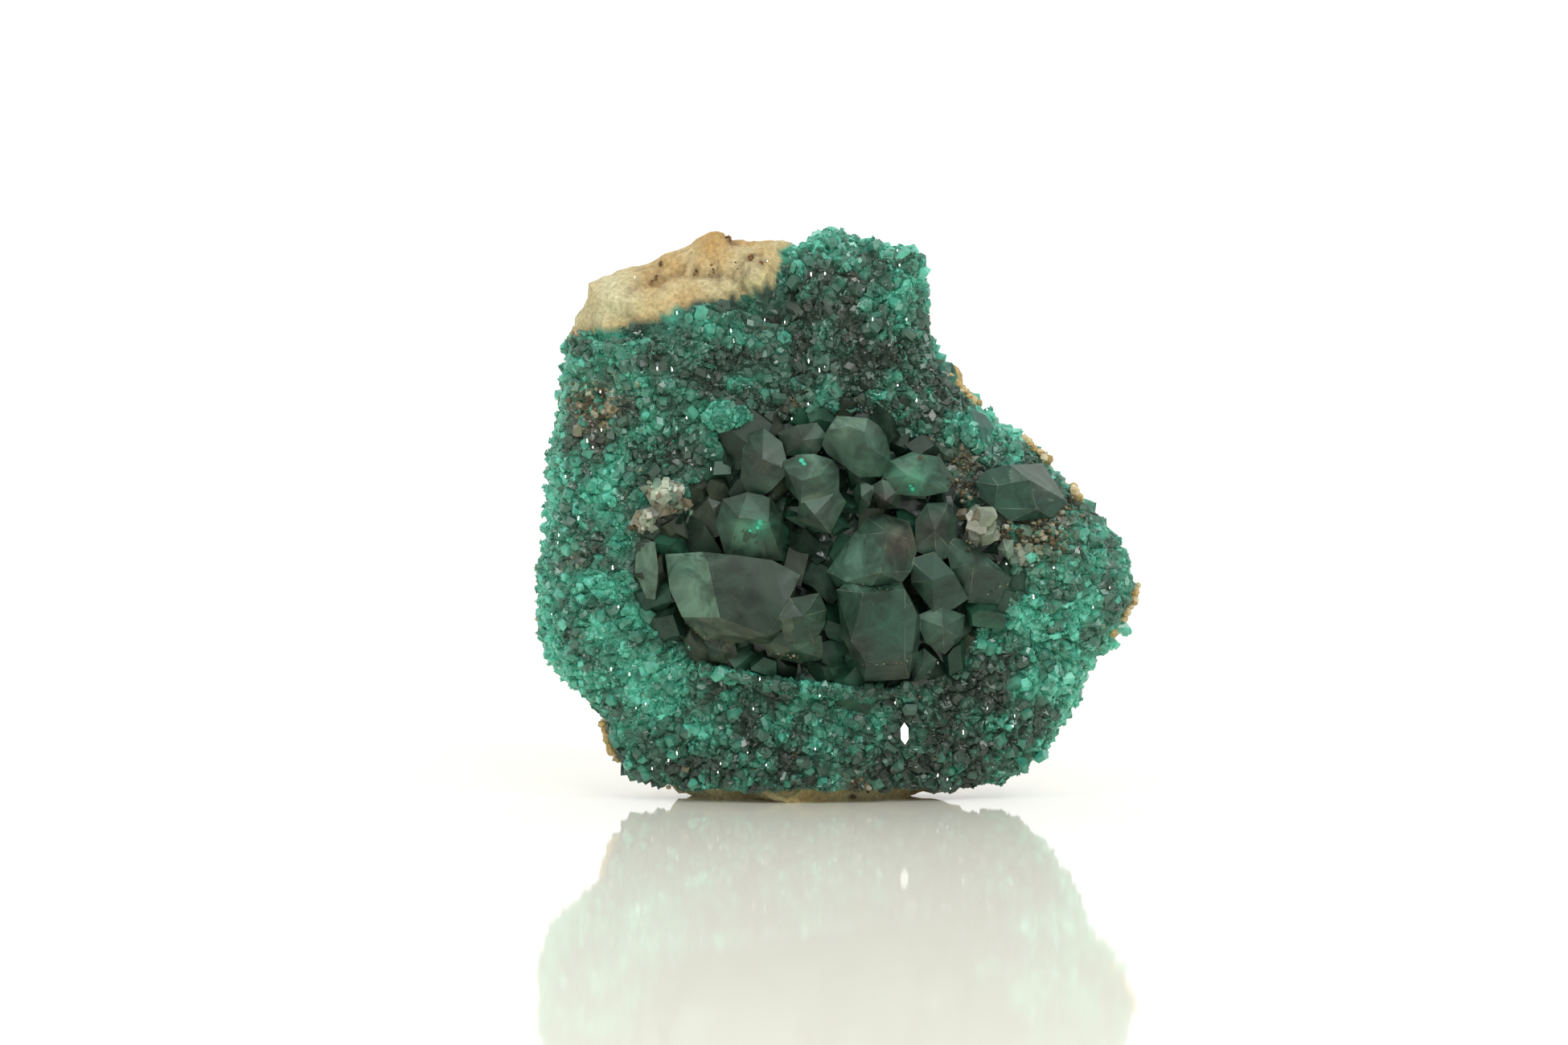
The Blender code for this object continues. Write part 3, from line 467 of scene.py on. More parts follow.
def modelShard(rng):
    deselect()
    bpy.ops.mesh.primitive_cylinder_add(vertices=6, radius=1.0, depth=shard["long"], end_fill_type="NGON")
    piece = bpy.context.object
    bpy.ops.object.mode_set(mode="EDIT")
    for number in range(shard["splits"]):
        end = 1 if number % 2 else -1
        face = Vector((rng.gauss(0, shard["tilt"]), rng.gauss(0, shard["tilt"]), end)).normalized()
        bpy.ops.mesh.select_all(action="SELECT")
        bpy.ops.mesh.bisect(
            plane_co=face * rng.uniform(*shard["splitAt"]), plane_no=face, use_fill=True, clear_outer=True)
    editAll(bpy.ops.mesh.normals_make_consistent, inside=False)
    return takeShape(piece)


# A grain or a small stone
roundGrain = {"uneven": 0.35, "wave": 3.1}


def modelGrain():
    deselect()
    bpy.ops.mesh.primitive_ico_sphere_add(subdivisions=1, radius=1.0)
    piece = bpy.context.object
    for vert in piece.data.vertices:
        vert.co *= 1.0 + roundGrain["uneven"] * noise.noise(vert.co * roundGrain["wave"])
    return takeShape(piece)


# A thin six-sided plate, for the glints and the painted emerald light
def modelTablet():
    deselect()
    bpy.ops.mesh.primitive_cylinder_add(vertices=6, radius=1.0, depth=1.0, end_fill_type="NGON")
    return takeShape(bpy.context.object)


# The corners and faces of a modelled shape, which is then taken away
def takeShape(piece):
    mesh = piece.data
    verts = np.array([vert.co[:] for vert in mesh.vertices])
    faces = [list(face.vertices) for face in mesh.polygons]
    bpy.data.objects.remove(piece, do_unlink=True)
    bpy.data.meshes.remove(mesh)
    return verts, faces


# One piece made of many copies of a shape, each with its own turn, size, place and colour
def copiesOf(name, shape, frames, colors, material):
    verts, faces = shape
    count = len(frames)
    corners = np.concatenate([verts @ np.array(turn).T + np.array(spot) for turn, spot in frames])
    base = np.array([corner for face in faces for corner in face])
    loops = (np.arange(count)[:, None] * len(verts) + base[None, :]).ravel()
    lengths = np.tile([len(face) for face in faces], count)
    starts = np.concatenate(([0], np.cumsum(lengths)[:-1]))
    mesh = bpy.data.meshes.new(name)
    mesh.vertices.add(len(corners))
    mesh.vertices.foreach_set("co", corners.astype(np.float32).ravel())
    mesh.loops.add(len(loops))
    mesh.loops.foreach_set("vertex_index", loops.astype(np.int32))
    mesh.polygons.add(len(lengths))
    mesh.polygons.foreach_set("loop_start", starts.astype(np.int32))
    mesh.update(calc_edges=True)
    mesh.shade_flat()
    layer = mesh.color_attributes.new("tint", "FLOAT_COLOR", "POINT")
    tints = np.ones((count, 4), np.float32)
    tints[:, :3] = np.array([color[:] for color in colors])
    layer.data.foreach_set("color", np.repeat(tints, len(verts), axis=0).ravel())
    mesh.materials.append(material)
    piece = bpy.data.objects.new(name, mesh)
    bpy.context.collection.objects.link(piece)
    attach(piece, "root")


def treeOf(names):
    verts, faces = [], []
    for name in names:
        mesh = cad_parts[name].data
        start = len(verts)
        verts += [vert.co.copy() for vert in mesh.vertices]
        faces += [[start + corner for corner in face.vertices] for face in mesh.polygons]
    return BVHTree.FromPolygons(verts, faces)


# Where a ray from the front meets the solids, at a pixel of the picture
farFront = -100 * mm


def frontHit(tree, px, py):
    x, z = spotAt(px, py)
    return tree.ray_cast(Vector((x, farFront, z)), Vector((0, 1, 0)))


def outwardAt(spot):
    away = spot - heart
    wide, deep, high = halfSquares
    return Vector((away.x / wide, away.y / deep, away.z / high)).normalized()


# Level, towards the middle of the stone
def inwardAt(spot):
    return ((heart - spot) * Vector((1, 0, 1))).normalized()


# Random places along a line of pixels, about a step apart
def alongLine(line, stepLength, rng):
    for (ax, ay), (bx, by) in zip(line, line[1:]):
        count = int(math.hypot(bx - ax, by - ay) / stepLength)
        for step in range(count):
            share = (step + rng.random()) / count
            yield ax + (bx - ax) * share, ay + (by - ay) * share


# Random places on a solid, leaving out the faces that lie against the rock
facesOut = 0.05


def spotsOn(name, perSquareMm, rng):
    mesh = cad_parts[name].data
    mesh.calc_loop_triangles()
    spots = []
    for tri in mesh.loop_triangles:
        a, b, c = [mesh.vertices[i].co for i in tri.vertices]
        if tri.normal.dot(outwardAt((a + b + c) / 3)) < facesOut:
            continue
        wanted = tri.area / (mm * mm) * perSquareMm
        for _ in range(int(wanted + rng.random())):
            u, v = rng.random(), rng.random()
            if u + v > 1:
                u, v = 1 - u, 1 - v
            spots.append((a + (b - a) * u + (c - a) * v, tri.normal.copy()))
    return spots


# A crystal's turn and place: it stands along a way, spun at random, a little flatter or thicker
girth = (0.6, 1.1)


def standing(rng, way, spot, wide, tall, sink):
    turn = way.to_track_quat("Z", "Y").to_matrix() @ Matrix.Rotation(rng.uniform(0, math.tau), 3, "Z")
    turn = turn @ Matrix.Diagonal((wide, wide * rng.uniform(*girth), tall))
    return turn, spot - way * sink


# The cluster in the middle, where dark crystals replace the druse: its edge, pixel across and down
clusterEdge = [
    (905, 528), (1050, 502), (1120, 540), (1158, 566), (1182, 606), (1200, 630), (1240, 648), (1258, 720),
    (1200, 790), (1150, 843), (1060, 845), (900, 822), (822, 780), (790, 705), (850, 625),
]


def insideCluster(spot):
    if spot.y > 0:
        return False
    px, py = pixelAt(spot)
    inside = False
    for (ax, ay), (bx, by) in zip(clusterEdge, clusterEdge[1:] + clusterEdge[:1]):
        if (ay > py) != (by > py) and px < ax + (bx - ax) * (py - ay) / (by - ay):
            inside = not inside
    return inside


# Stretches of the rim where the tan rock shows past the crust: how far the rock is drawn out there,
# and a line of pixels across and down
tanRims = {
    "reach": 11,
    "lines": [
        (0.9 * mm, ((1168, 444), (1176, 460), (1194, 478), (1220, 500))),
        (1.0 * mm, ((1276, 544), (1300, 566), (1330, 592), (1354, 640))),
        (1.6 * mm, ((1412, 704), (1420, 722), (1410, 752), (1384, 790))),
        (1.6 * mm, ((738, 905), (752, 942), (780, 968), (832, 988))),
        (0.6 * mm, ((1040, 992), (1084, 992))),
    ],
}


def pixelsFromLine(spot, line):
    here = Vector(pixelAt(spot))
    closest = math.inf
    for start, end in zip(line, line[1:]):
        share = intersect_point_line(here, Vector(start), Vector(end))[1]
        foot = Vector(start).lerp(Vector(end), max(0.0, min(1.0, share)))
        closest = min(closest, (foot - here).length)
    return closest


def tanRimAt(spot):
    closest, swell = min((pixelsFromLine(spot, line), drawnOut) for drawnOut, line in tanRims["lines"])
    return math.exp(-(closest / tanRims["reach"]) ** 2), swell


# Small stones of the host rock along those stretches, kept where they touch the stone
rimStones = {
    "seed": 2, "step": 1.2, "size": (0.24, 0.48), "inside": 0.2 * mm, "depth": (-4.0 * mm, 1.5 * mm),
    "loose": 0.9, "ownInside": (0.3, 0.9), "flat": (0.7, 1.2), "floorRoom": 1.3,
    "tones": [(206, 186, 140), (190, 164, 112), (216, 204, 170), (176, 150, 100)],
}


def layRimStones(grain, allTree, material):
    rng = random.Random(rimStones["seed"])
    frames, colors = [], []
    for _, line in tanRims["lines"]:
        for px, py in alongLine(line, rimStones["step"], rng):
            x, z = spotAt(px, py)
            size = rng.uniform(*rimStones["size"]) * mm
            spot = Vector((x, rng.uniform(*rimStones["depth"]), max(z, size * rimStones["floorRoom"])))
            spot += inwardAt(spot) * (rimStones["inside"] + size * rng.uniform(*rimStones["ownInside"]))
            ground = evened(allTree.find_nearest(spot)[0])
            if (ground - spot).length > size * rimStones["loose"]:
                continue
            roll = Matrix.Rotation(rng.uniform(0, math.tau), 3, "X")
            turn = roll @ Matrix.Rotation(rng.random(), 3, "Z")
            scale = Matrix.Diagonal((size, size, size * rng.uniform(*rimStones["flat"])))
            frames.append((turn @ scale, spot))
            colors.append(screenColor(*rng.choice(rimStones["tones"])))
    copiesOf("rimStones", grain, frames, colors, material)
    print("stones on the rims:", len(frames))


# Where the druse ends on the bare rock at the top left: pixel across and down
greenEdge = [
    (660, 425), (706, 425), (745, 408), (800, 400), (835, 385), (870, 373), (925, 366), (958, 348),
    (966, 330), (952, 318), (975, 308), (1008, 298), (1040, 280), (1500, 280),
]
greenStrip = {"lowest": 34 * mm, "right": 3 * mm, "bareAbove": 0.4 * mm}


def greenEdgeAt(spot):
    px = pixelAt(spot)[0]
    for (ax, ay), (bx, by) in zip(greenEdge, greenEdge[1:]):
        if min(ax, bx) <= px <= max(ax, bx):
            return spotAt(px, ay + (by - ay) * (px - ax) / (bx - ax))[1]
    return 0.0


def onGreenStrip(spot):
    return greenStrip["lowest"] < spot.z < greenEdgeAt(spot) and spot.y < 0 and spot.x < greenStrip["right"]


def onBareRock(spot):
    return spot.x < 0 and spot.z > greenEdgeAt(spot) + greenStrip["bareAbove"]


# The crust between the small crystals: their own colours, drawn in where the tan rims show. The shade factor
# lifts them a little, painted light against the shadows in the gaps, and inside the cluster the crust is
# painted near black as painted shade between the large crystals.
crust = {
    "longest": 0.7 * mm, "passes": 2, "rise": 0.16 * mm, "wave": 0.8 * mm, "rimIn": 0.6 * mm, "shade": 1.05,
    "gapShade": (0.016, 0.036, 0.024),
}


def drawnIn(spot):
    return evened(spot) + inwardAt(spot) * crust["rimIn"] * tanRimAt(spot)[0]


def finishCrust(material):
    piece = mergedCopy("druse_crust", "druseCrust")
    refine(piece, crust["longest"], crust["passes"])
    rng = random.Random(druse["seed"])
    mesh = piece.data
    moves = []
    for vert in mesh.vertices:
        move = vert.normal * crust["rise"] * noise.noise(vert.co / crust["wave"])
        moves.append(move + drawnIn(vert.co) - vert.co)
    for vert, move in zip(mesh.vertices, moves):
        vert.co += move
        vert.co.z = max(vert.co.z, 0.0)
    layer = mesh.color_attributes.new("tint", "FLOAT_COLOR", "POINT")
    for vert, mark in zip(mesh.vertices, layer.data):
        color = druseColor(rng, vert.co, vert.normal) * crust["shade"]
        # Painted shade: inside the cluster the crust is painted near black
        if insideCluster(vert.co):
            color = Vector(crust["gapShade"])
        if onBareRock(vert.co):
            color = rockColor(vert.co)
        mark.color = (color.x, color.y, color.z, 1.0)
    mesh.materials.append(material)
    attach(piece, "root")
    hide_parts("druse_crust")
    print("crust finished:", len(mesh.polygons), "faces")


# The druse: thousands of small crystals standing on the crust, and finer tips between them
druse = {
    "seed": 7, "faceWay": 0.5, "stoneWay": 0.6, "lean": 0.65, "upright": 0.45, "fine": 1.6, "tipReach": 1.5,
    "lowest": 0.25 * mm, "rimBack": -4.4 * mm, "rimShare": 0.35, "closeBy": 0.12 * mm, "hiddenShare": 0.85,
    "coated": ("ledge_lip", "teal_clump", "teal_crystal"),
    "sizes": {
        # name: how many on a square millimetre, radius, height, sink, crystals in a piece
        "druseCrystals": (3.2, (0.22, 0.62), (0.65, 1.0), (0.6, 0.95), 7800),
        "druseTips": (22.0, (0.15, 0.40), (0.7, 1.3), (0.0, 0.3), 45000),
    },
}


def growDruse(name, shape, bigTree, material):
    perSquareMm, (low, high), heights, sinks, perPiece = druse["sizes"][name]
    rng = random.Random(druse["seed"])
    frames, colors = [], []
    spots = []
    for node in ("druse_crust", *druse["coated"]):
        spots += spotsOn(node, perSquareMm, rng)
    spots += [found for found in spotsOn("matrix_rock", perSquareMm, rng) if onGreenStrip(found[0])]
    for ownSpot, normal in spots:
        spot = drawnIn(ownSpot)
        up = normal * druse["faceWay"] + outwardAt(spot) * druse["stoneWay"]
        lean = Vector((rng.gauss(0, 1), rng.gauss(0, 1), rng.gauss(0, 1))) * druse["lean"]
        way = (up.normalized() + lean * rng.random()).normalized()
        radius = (low + (high - low) * rng.random() ** druse["fine"]) * mm
        tall = rng.uniform(*heights) * radius
        tip = spot + way * tall * druse["tipReach"]
        touching = bigTree.find_nearest(tip, druse["closeBy"])[0]
        buried = touching or bigTree.ray_cast(tip, Vector((0, -1, 0)))[0]
        if buried and rng.random() < druse["hiddenShare"]:
            continue
        if insideCluster(spot) or onBareRock(spot):
            continue
        if tip.z < druse["lowest"] or way.dot(normal) < druse["upright"]:
            continue
        if spot.y > druse["rimBack"] and tanRimAt(spot)[0] > druse["rimShare"]:
            continue
        frames.append(standing(rng, way, spot, radius, tall, rng.uniform(*sinks) * radius))
        colors.append(druseColor(rng, spot, normal))
    order = sorted(range(len(frames)), key=lambda i: frames[i][1].z)
    parts = [order[i:i + perPiece] for i in range(0, len(order), perPiece)]
    for number, part in enumerate(parts):
        copiesOf("%s_%d" % (name, number + 1), shape, [frames[i] for i in part],
                 [colors[i] for i in part], material)
    print(name, "grown:", len(frames), "in", len(parts), "pieces")


# Dark broken crystals that fill the gaps between the large ones
filling = {
    "seed": 21, "perSquareMm": 2.2, "radius": (1.1, 2.4), "fine": 1.4, "tall": (0.9, 1.3), "lie": 0.5,
    "apart": 0.55, "sink": 0.30, "shade": (0.75, 1.3),
    # places that stay free of them: pixel across and down, and room in pixels round their own bulk
    "clearOf": [
        (1202, 647, 24), (1267, 686, 14), (823, 612, 24), (798, 643, 16), (1016, 690, -6), (1026, 745, -6),
        (1030, 790, -6),
    ],
    "tones": [(34, 58, 45), (40, 74, 58), (50, 58, 44), (32, 70, 53), (30, 46, 36)],
}


def growFilling(material):
    rng = random.Random(filling["seed"])
    taken = []
    spots = spotsOn("druse_crust", filling["perSquareMm"], rng)
    rng.shuffle(spots)
    for spot, _ in spots:
        low, high = filling["radius"]
        radius = (low + (high - low) * rng.random() ** filling["fine"]) * mm
        if not insideCluster(spot):
            continue
        bulk = radius / picture["pixel"]
        if any(pixelsAway(spot, px, py) < reach + bulk for px, py, reach in filling["clearOf"]):
            continue
        if any((spot - other).length < (radius + wide) * filling["apart"] for other, wide in taken):
            continue
        taken.append((spot, radius))
    for number in range(shard["shapes"]):
        shape = modelShard(rng)
        frames, colors = [], []
        for spot, radius in taken[number::shard["shapes"]]:
            way = Vector((rng.gauss(0, 1), -filling["lie"], rng.gauss(0, 1))).normalized()
            tall = rng.uniform(*filling["tall"]) * radius
            root = spot + Vector((0, filling["sink"] * radius, 0))
            frames.append(standing(rng, way, root, radius, tall, 0.0))
            colors.append(screenColor(*rng.choice(filling["tones"])) * rng.uniform(*filling["shade"]))
        copiesOf("fillingCrystals_%d" % (number + 1), shape, frames, colors, material)
    print("gaps filled with", len(taken), "dark crystals")


# Pale broken crystals beside the cluster: pixel across and down, spread, how many, radius in mm, shade
pale = {
    "seed": 11, "proud": 0.1 * mm, "spread": 0.7, "lie": 0.6, "tall": (0.7, 1.1),
    "heaps": [
        (1203, 646, 13, 9, (0.5, 1.15), 0.72), (1262, 684, 9, 5, (0.35, 0.7), 0.8),
        (1234, 660, 10, 5, (0.2, 0.45), 0.8), (1196, 564, 5, 4, (0.2, 0.35), 0.9),
        (823, 610, 15, 26, (0.2, 0.62), 1.0), (796, 643, 10, 14, (0.2, 0.5), 1.0),
        (845, 628, 8, 6, (0.2, 0.4), 1.0),
    ],
    "tones": [
        (172, 186, 160), (194, 204, 182), (146, 166, 142), (214, 216, 198), (150, 142, 116), (122, 152, 130),
    ],
}


def growPale(material, allTree):
    rng = random.Random(pale["seed"])
    shape = modelShard(rng)
    frames, colors = [], []
    for px, py, spread, count, (low, high), shade in pale["heaps"]:
        for _ in range(count):
            reach = spread * pale["spread"]
            hit = frontHit(allTree, rng.gauss(px, reach), rng.gauss(py, reach))[0]
            if hit is None:
                continue
            radius = rng.uniform(low, high) * mm
            way = Vector((rng.gauss(0, 1), -pale["lie"], rng.gauss(0, 1))).normalized()
            spot = hit + Vector((0, -pale["proud"], 0))
            frames.append(standing(rng, way, spot, radius, radius * rng.uniform(*pale["tall"]), 0.0))
            colors.append(screenColor(*rng.choice(pale["tones"])) * shade)
    copiesOf("paleFragments", shape, frames, colors, material)
    print("pale fragments:", len(frames))


# Glints: small flat faces that catch one of the lights, where the picture has its white sparks, and
# strays all over the front
closeToCrystal = 0.05 * mm
glints = {
    "seed": 5, "wide": 0.065 * mm, "high": (0.10, 0.22), "thick": 0.12 * mm, "proud": -0.75 * mm,
    "strays": 70, "strayAcross": (680, 1400), "strayDown": (300, 980), "strayWide": (0.5, 1.0),
    "strayHigh": 0.7,
    "placed": [
        (838, 388), (905, 410), (815, 456), (833, 457), (838, 930), (728, 545), (735, 553), (1020, 340),
        (1003, 341), (1132, 495), (1190, 903), (1252, 898), (1160, 960), (767, 748), (757, 826), (780, 832),
        (948, 944), (1095, 316), (1101, 333), (1013, 458), (1000, 447), (851, 516), (1078, 396), (1172, 965),
        (893, 842), (1106, 866), (1300, 700), (1275, 735), (1350, 750), (700, 590), (716, 640), (760, 700),
    ],
    # the one large glint: pixel across and down, width and height
    "great": (1118, 905, 0.36 * mm, 0.92 * mm),
    # Painted highlight: the glints are coloured pale, so they look lit even where they catch no light
    "color": (0.66, 0.72, 0.68),
}


def growGlints(tablet, allTree, bigTree, material):
    rng = random.Random(glints["seed"])
    eye = bpy.context.scene.camera.location
    lights = [Vector(place) for place, _, _ in studio["lights"].values()]
    low, high = glints["high"]
    wanted = [(px, py, glints["wide"], rng.uniform(low, high) * mm) for px, py in glints["placed"]]
    wanted.append(glints["great"])
    for _ in range(glints["strays"]):
        px, py = rng.uniform(*glints["strayAcross"]), rng.uniform(*glints["strayDown"])
        wide = glints["wide"] * rng.uniform(*glints["strayWide"])
        wanted.append((px, py, wide, rng.uniform(low, high) * mm * glints["strayHigh"]))
    frames = []
    for px, py, wide, tall in wanted:
        hit = frontHit(allTree, px, py)[0]
        if hit is None or bigTree.find_nearest(hit, closeToCrystal)[0] is not None:
            continue
        spot = evened(hit) + Vector((0, glints["proud"], 0))
        toEye = (eye - spot).normalized()
        toLight = (rng.choice(lights) - spot).normalized()
        face = (toEye + toLight).normalized()
        side = face.cross(Vector((0, 0, 1))).normalized()
        up = side.cross(face)
        turn = Matrix((side * wide, up * tall, face * glints["thick"])).transposed()
        frames.append((turn, spot - face * glints["thick"] * 0.5))
    colors = [Vector(glints["color"])] * len(frames)
    copiesOf("glintCrystals", tablet, frames, colors, material)
    print("glints placed:", len(frames))


# Painted light: bright emerald patches on the large crystals, where light comes through: pixel across and
# down, half width in mm
sparks = {
    "seed": 9, "thick": 0.06 * mm, "long": (0.9, 1.4), "color": (0.015, 0.52, 0.30),
    "places": [
        (991, 567, 0.22), (994, 571, 0.16), (1126, 602, 0.17), (1123, 598, 0.12), (941, 642, 0.22),
        (938, 648, 0.16), (929, 652, 0.12), (834, 545, 0.12), (804, 553, 0.14),
    ],
}


def growSparks(tablet, allTree, material):
    rng = random.Random(sparks["seed"])
    frames = []
    for px, py, half in sparks["places"]:
        hit, normal = frontHit(allTree, px, py)[:2]
        turn = normal.to_track_quat("Z", "Y").to_matrix() @ Matrix.Rotation(rng.uniform(0, math.tau), 3, "Z")
        turn = turn @ Matrix.Diagonal((half * mm, half * rng.uniform(*sparks["long"]) * mm, sparks["thick"]))
        frames.append((turn, hit))
    # Painted light: the patches are bright emerald
    colors = [Vector(sparks["color"])] * len(frames)
    copiesOf("paintedEmeraldLight", tablet, frames, colors, material)
    print("emerald patches:", len(frames))


# Brown and grey grains caught between the crystals: pixel across and down, spread, how many, scale
grains = {
    "seed": 3, "size": (0.08, 0.20), "spread": 0.6, "flat": (0.6, 1.0), "long": (0.8, 1.3),
    "proud": 0.2 * mm, "coarse": 1.2, "floorRoom": 1.5, "lineScale": 0.5, "lineStep": 6, "lineSpread": 1.5,
    "heaps": [
        (1190, 572, 12, 16, 1.2), (1180, 594, 7, 10, 1.2), (1190, 610, 8, 14, 1.2), (1140, 552, 8, 8, 1.1),
        (1086, 517, 5, 4, 1.0), (871, 801, 4, 3, 1.2), (982, 806, 6, 4, 0.9), (987, 506, 8, 6, 1.0),
        (1242, 658, 12, 26, 1.5), (1285, 660, 22, 60, 1.5), (1262, 668, 12, 20, 1.4),
        (1310, 672, 14, 20, 1.3), (792, 650, 10, 12, 1.4), (800, 672, 8, 9, 1.4), (838, 622, 9, 8, 1.2),
        (1062, 978, 14, 20, 1.5), (1200, 668, 8, 8, 1.2), (735, 505, 24, 34, 1.6), (1135, 862, 4, 2, 1.0),
        (1330, 622, 14, 14, 1.2),
    ],
    "lines": [
        ((845, 765), (880, 786), (935, 800), (985, 808), (1015, 800)),
        ((1045, 714), (1080, 722), (1118, 720)), ((1062, 815), (1122, 812)),
        ((1140, 835), (1190, 800)), ((1195, 745), (1250, 715)),
    ],
    "tones": [(118, 110, 86), (84, 76, 58), (150, 146, 122), (102, 90, 62), (62, 58, 44), (58, 76, 60)],
    # dark specks on the bare rock
    "specks": [
        (901, 300, 5, 9), (928, 321, 5, 10), (913, 335, 5, 6), (815, 329, 3, 4), (860, 337, 4, 3),
        (880, 337, 6, 4), (940, 330, 5, 5), (812, 348, 6, 5), (889, 303, 6, 2), (845, 385, 12, 4),
        (790, 392, 8, 5), (921, 341, 4, 4),
    ],
    "speckTones": [(112, 84, 52), (90, 68, 46), (134, 98, 58)], "speckScale": 0.8, "speckProud": -0.05 * mm,
}


def scatterGrains(grain, allTree, bigTree, material):
    rng = random.Random(grains["seed"])
    wanted = []
    heaps = [(*heap, "tones") for heap in grains["heaps"]]
    heaps += [(*speck, grains["speckScale"], "speckTones") for speck in grains["specks"]]
    for px, py, spread, count, scale, tones in heaps:
        reach = spread * grains["spread"]
        for _ in range(count):
            wanted.append((rng.gauss(px, reach), rng.gauss(py, reach), scale, tones))
    for line in grains["lines"]:
        for px, py in alongLine(line, grains["lineStep"], rng):
            wanted.append((px, py + rng.gauss(0, grains["lineSpread"]), grains["lineScale"], "tones"))
    frames, colors = [], []
    for px, py, scale, tones in wanted:
        hit = frontHit(allTree, px, py)[0]
        if hit is None:
            continue
        if scale > grains["coarse"] and bigTree.find_nearest(hit, closeToCrystal)[0] is not None:
            continue
        size = rng.uniform(*grains["size"]) * mm * scale
        if evened(hit).z < size * grains["floorRoom"]:
            continue
        roll = Matrix.Rotation(rng.uniform(0, math.tau), 3, "X")
        turn = roll @ Matrix.Rotation(rng.uniform(0, math.tau), 3, "Y")
        turn = turn @ Matrix.Diagonal(
            (size, size * rng.uniform(*grains["flat"]), size * rng.uniform(*grains["long"])))
        proud = grains["proud"] * scale if tones == "tones" else grains["speckProud"]
        frames.append((turn, evened(hit) + Vector((0, -proud, 0))))
        colors.append(screenColor(*rng.choice(grains[tones])))
    copiesOf("tanGrains", grain, frames, colors, material)
    print("grains scattered:", len(frames))


# A working copy of a solid, with its loose triangles joined
samePoint = 0.005 * mm


def mergedCopy(nodeName, name):
    piece = bpy.data.objects.new(name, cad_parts[nodeName].data.copy())
    bpy.context.collection.objects.link(piece)
    piece.data.materials.clear()
    deselect()
    piece.select_set(True)
    bpy.context.view_layer.objects.active = piece
    if piece.data.has_custom_normals:
        bpy.ops.mesh.customdata_custom_splitnormals_clear()
    bpy.ops.object.shade_flat()
    editAll(bpy.ops.mesh.remove_doubles, threshold=samePoint)
    return piece


# Splits the edges that are too long, so that a face can be uneven
def refine(piece, longest, passes):
    for _ in range(passes):
        bpy.ops.object.mode_set(mode="EDIT")
        bpy.ops.mesh.select_mode(type="EDGE")
        bpy.ops.mesh.select_all(action="SELECT")
        bpy.ops.mesh.quads_convert_to_tris()
        bpy.ops.mesh.select_all(action="DESELECT")
        bpy.ops.object.mode_set(mode="OBJECT")
        mesh = piece.data
        for edge in mesh.edges:
            a, b = edge.vertices
            edge.select = (mesh.vertices[a].co - mesh.vertices[b].co).length > longest
        bpy.ops.object.mode_set(mode="EDIT")
        bpy.ops.mesh.subdivide(number_cuts=1)
        bpy.ops.object.mode_set(mode="OBJECT")


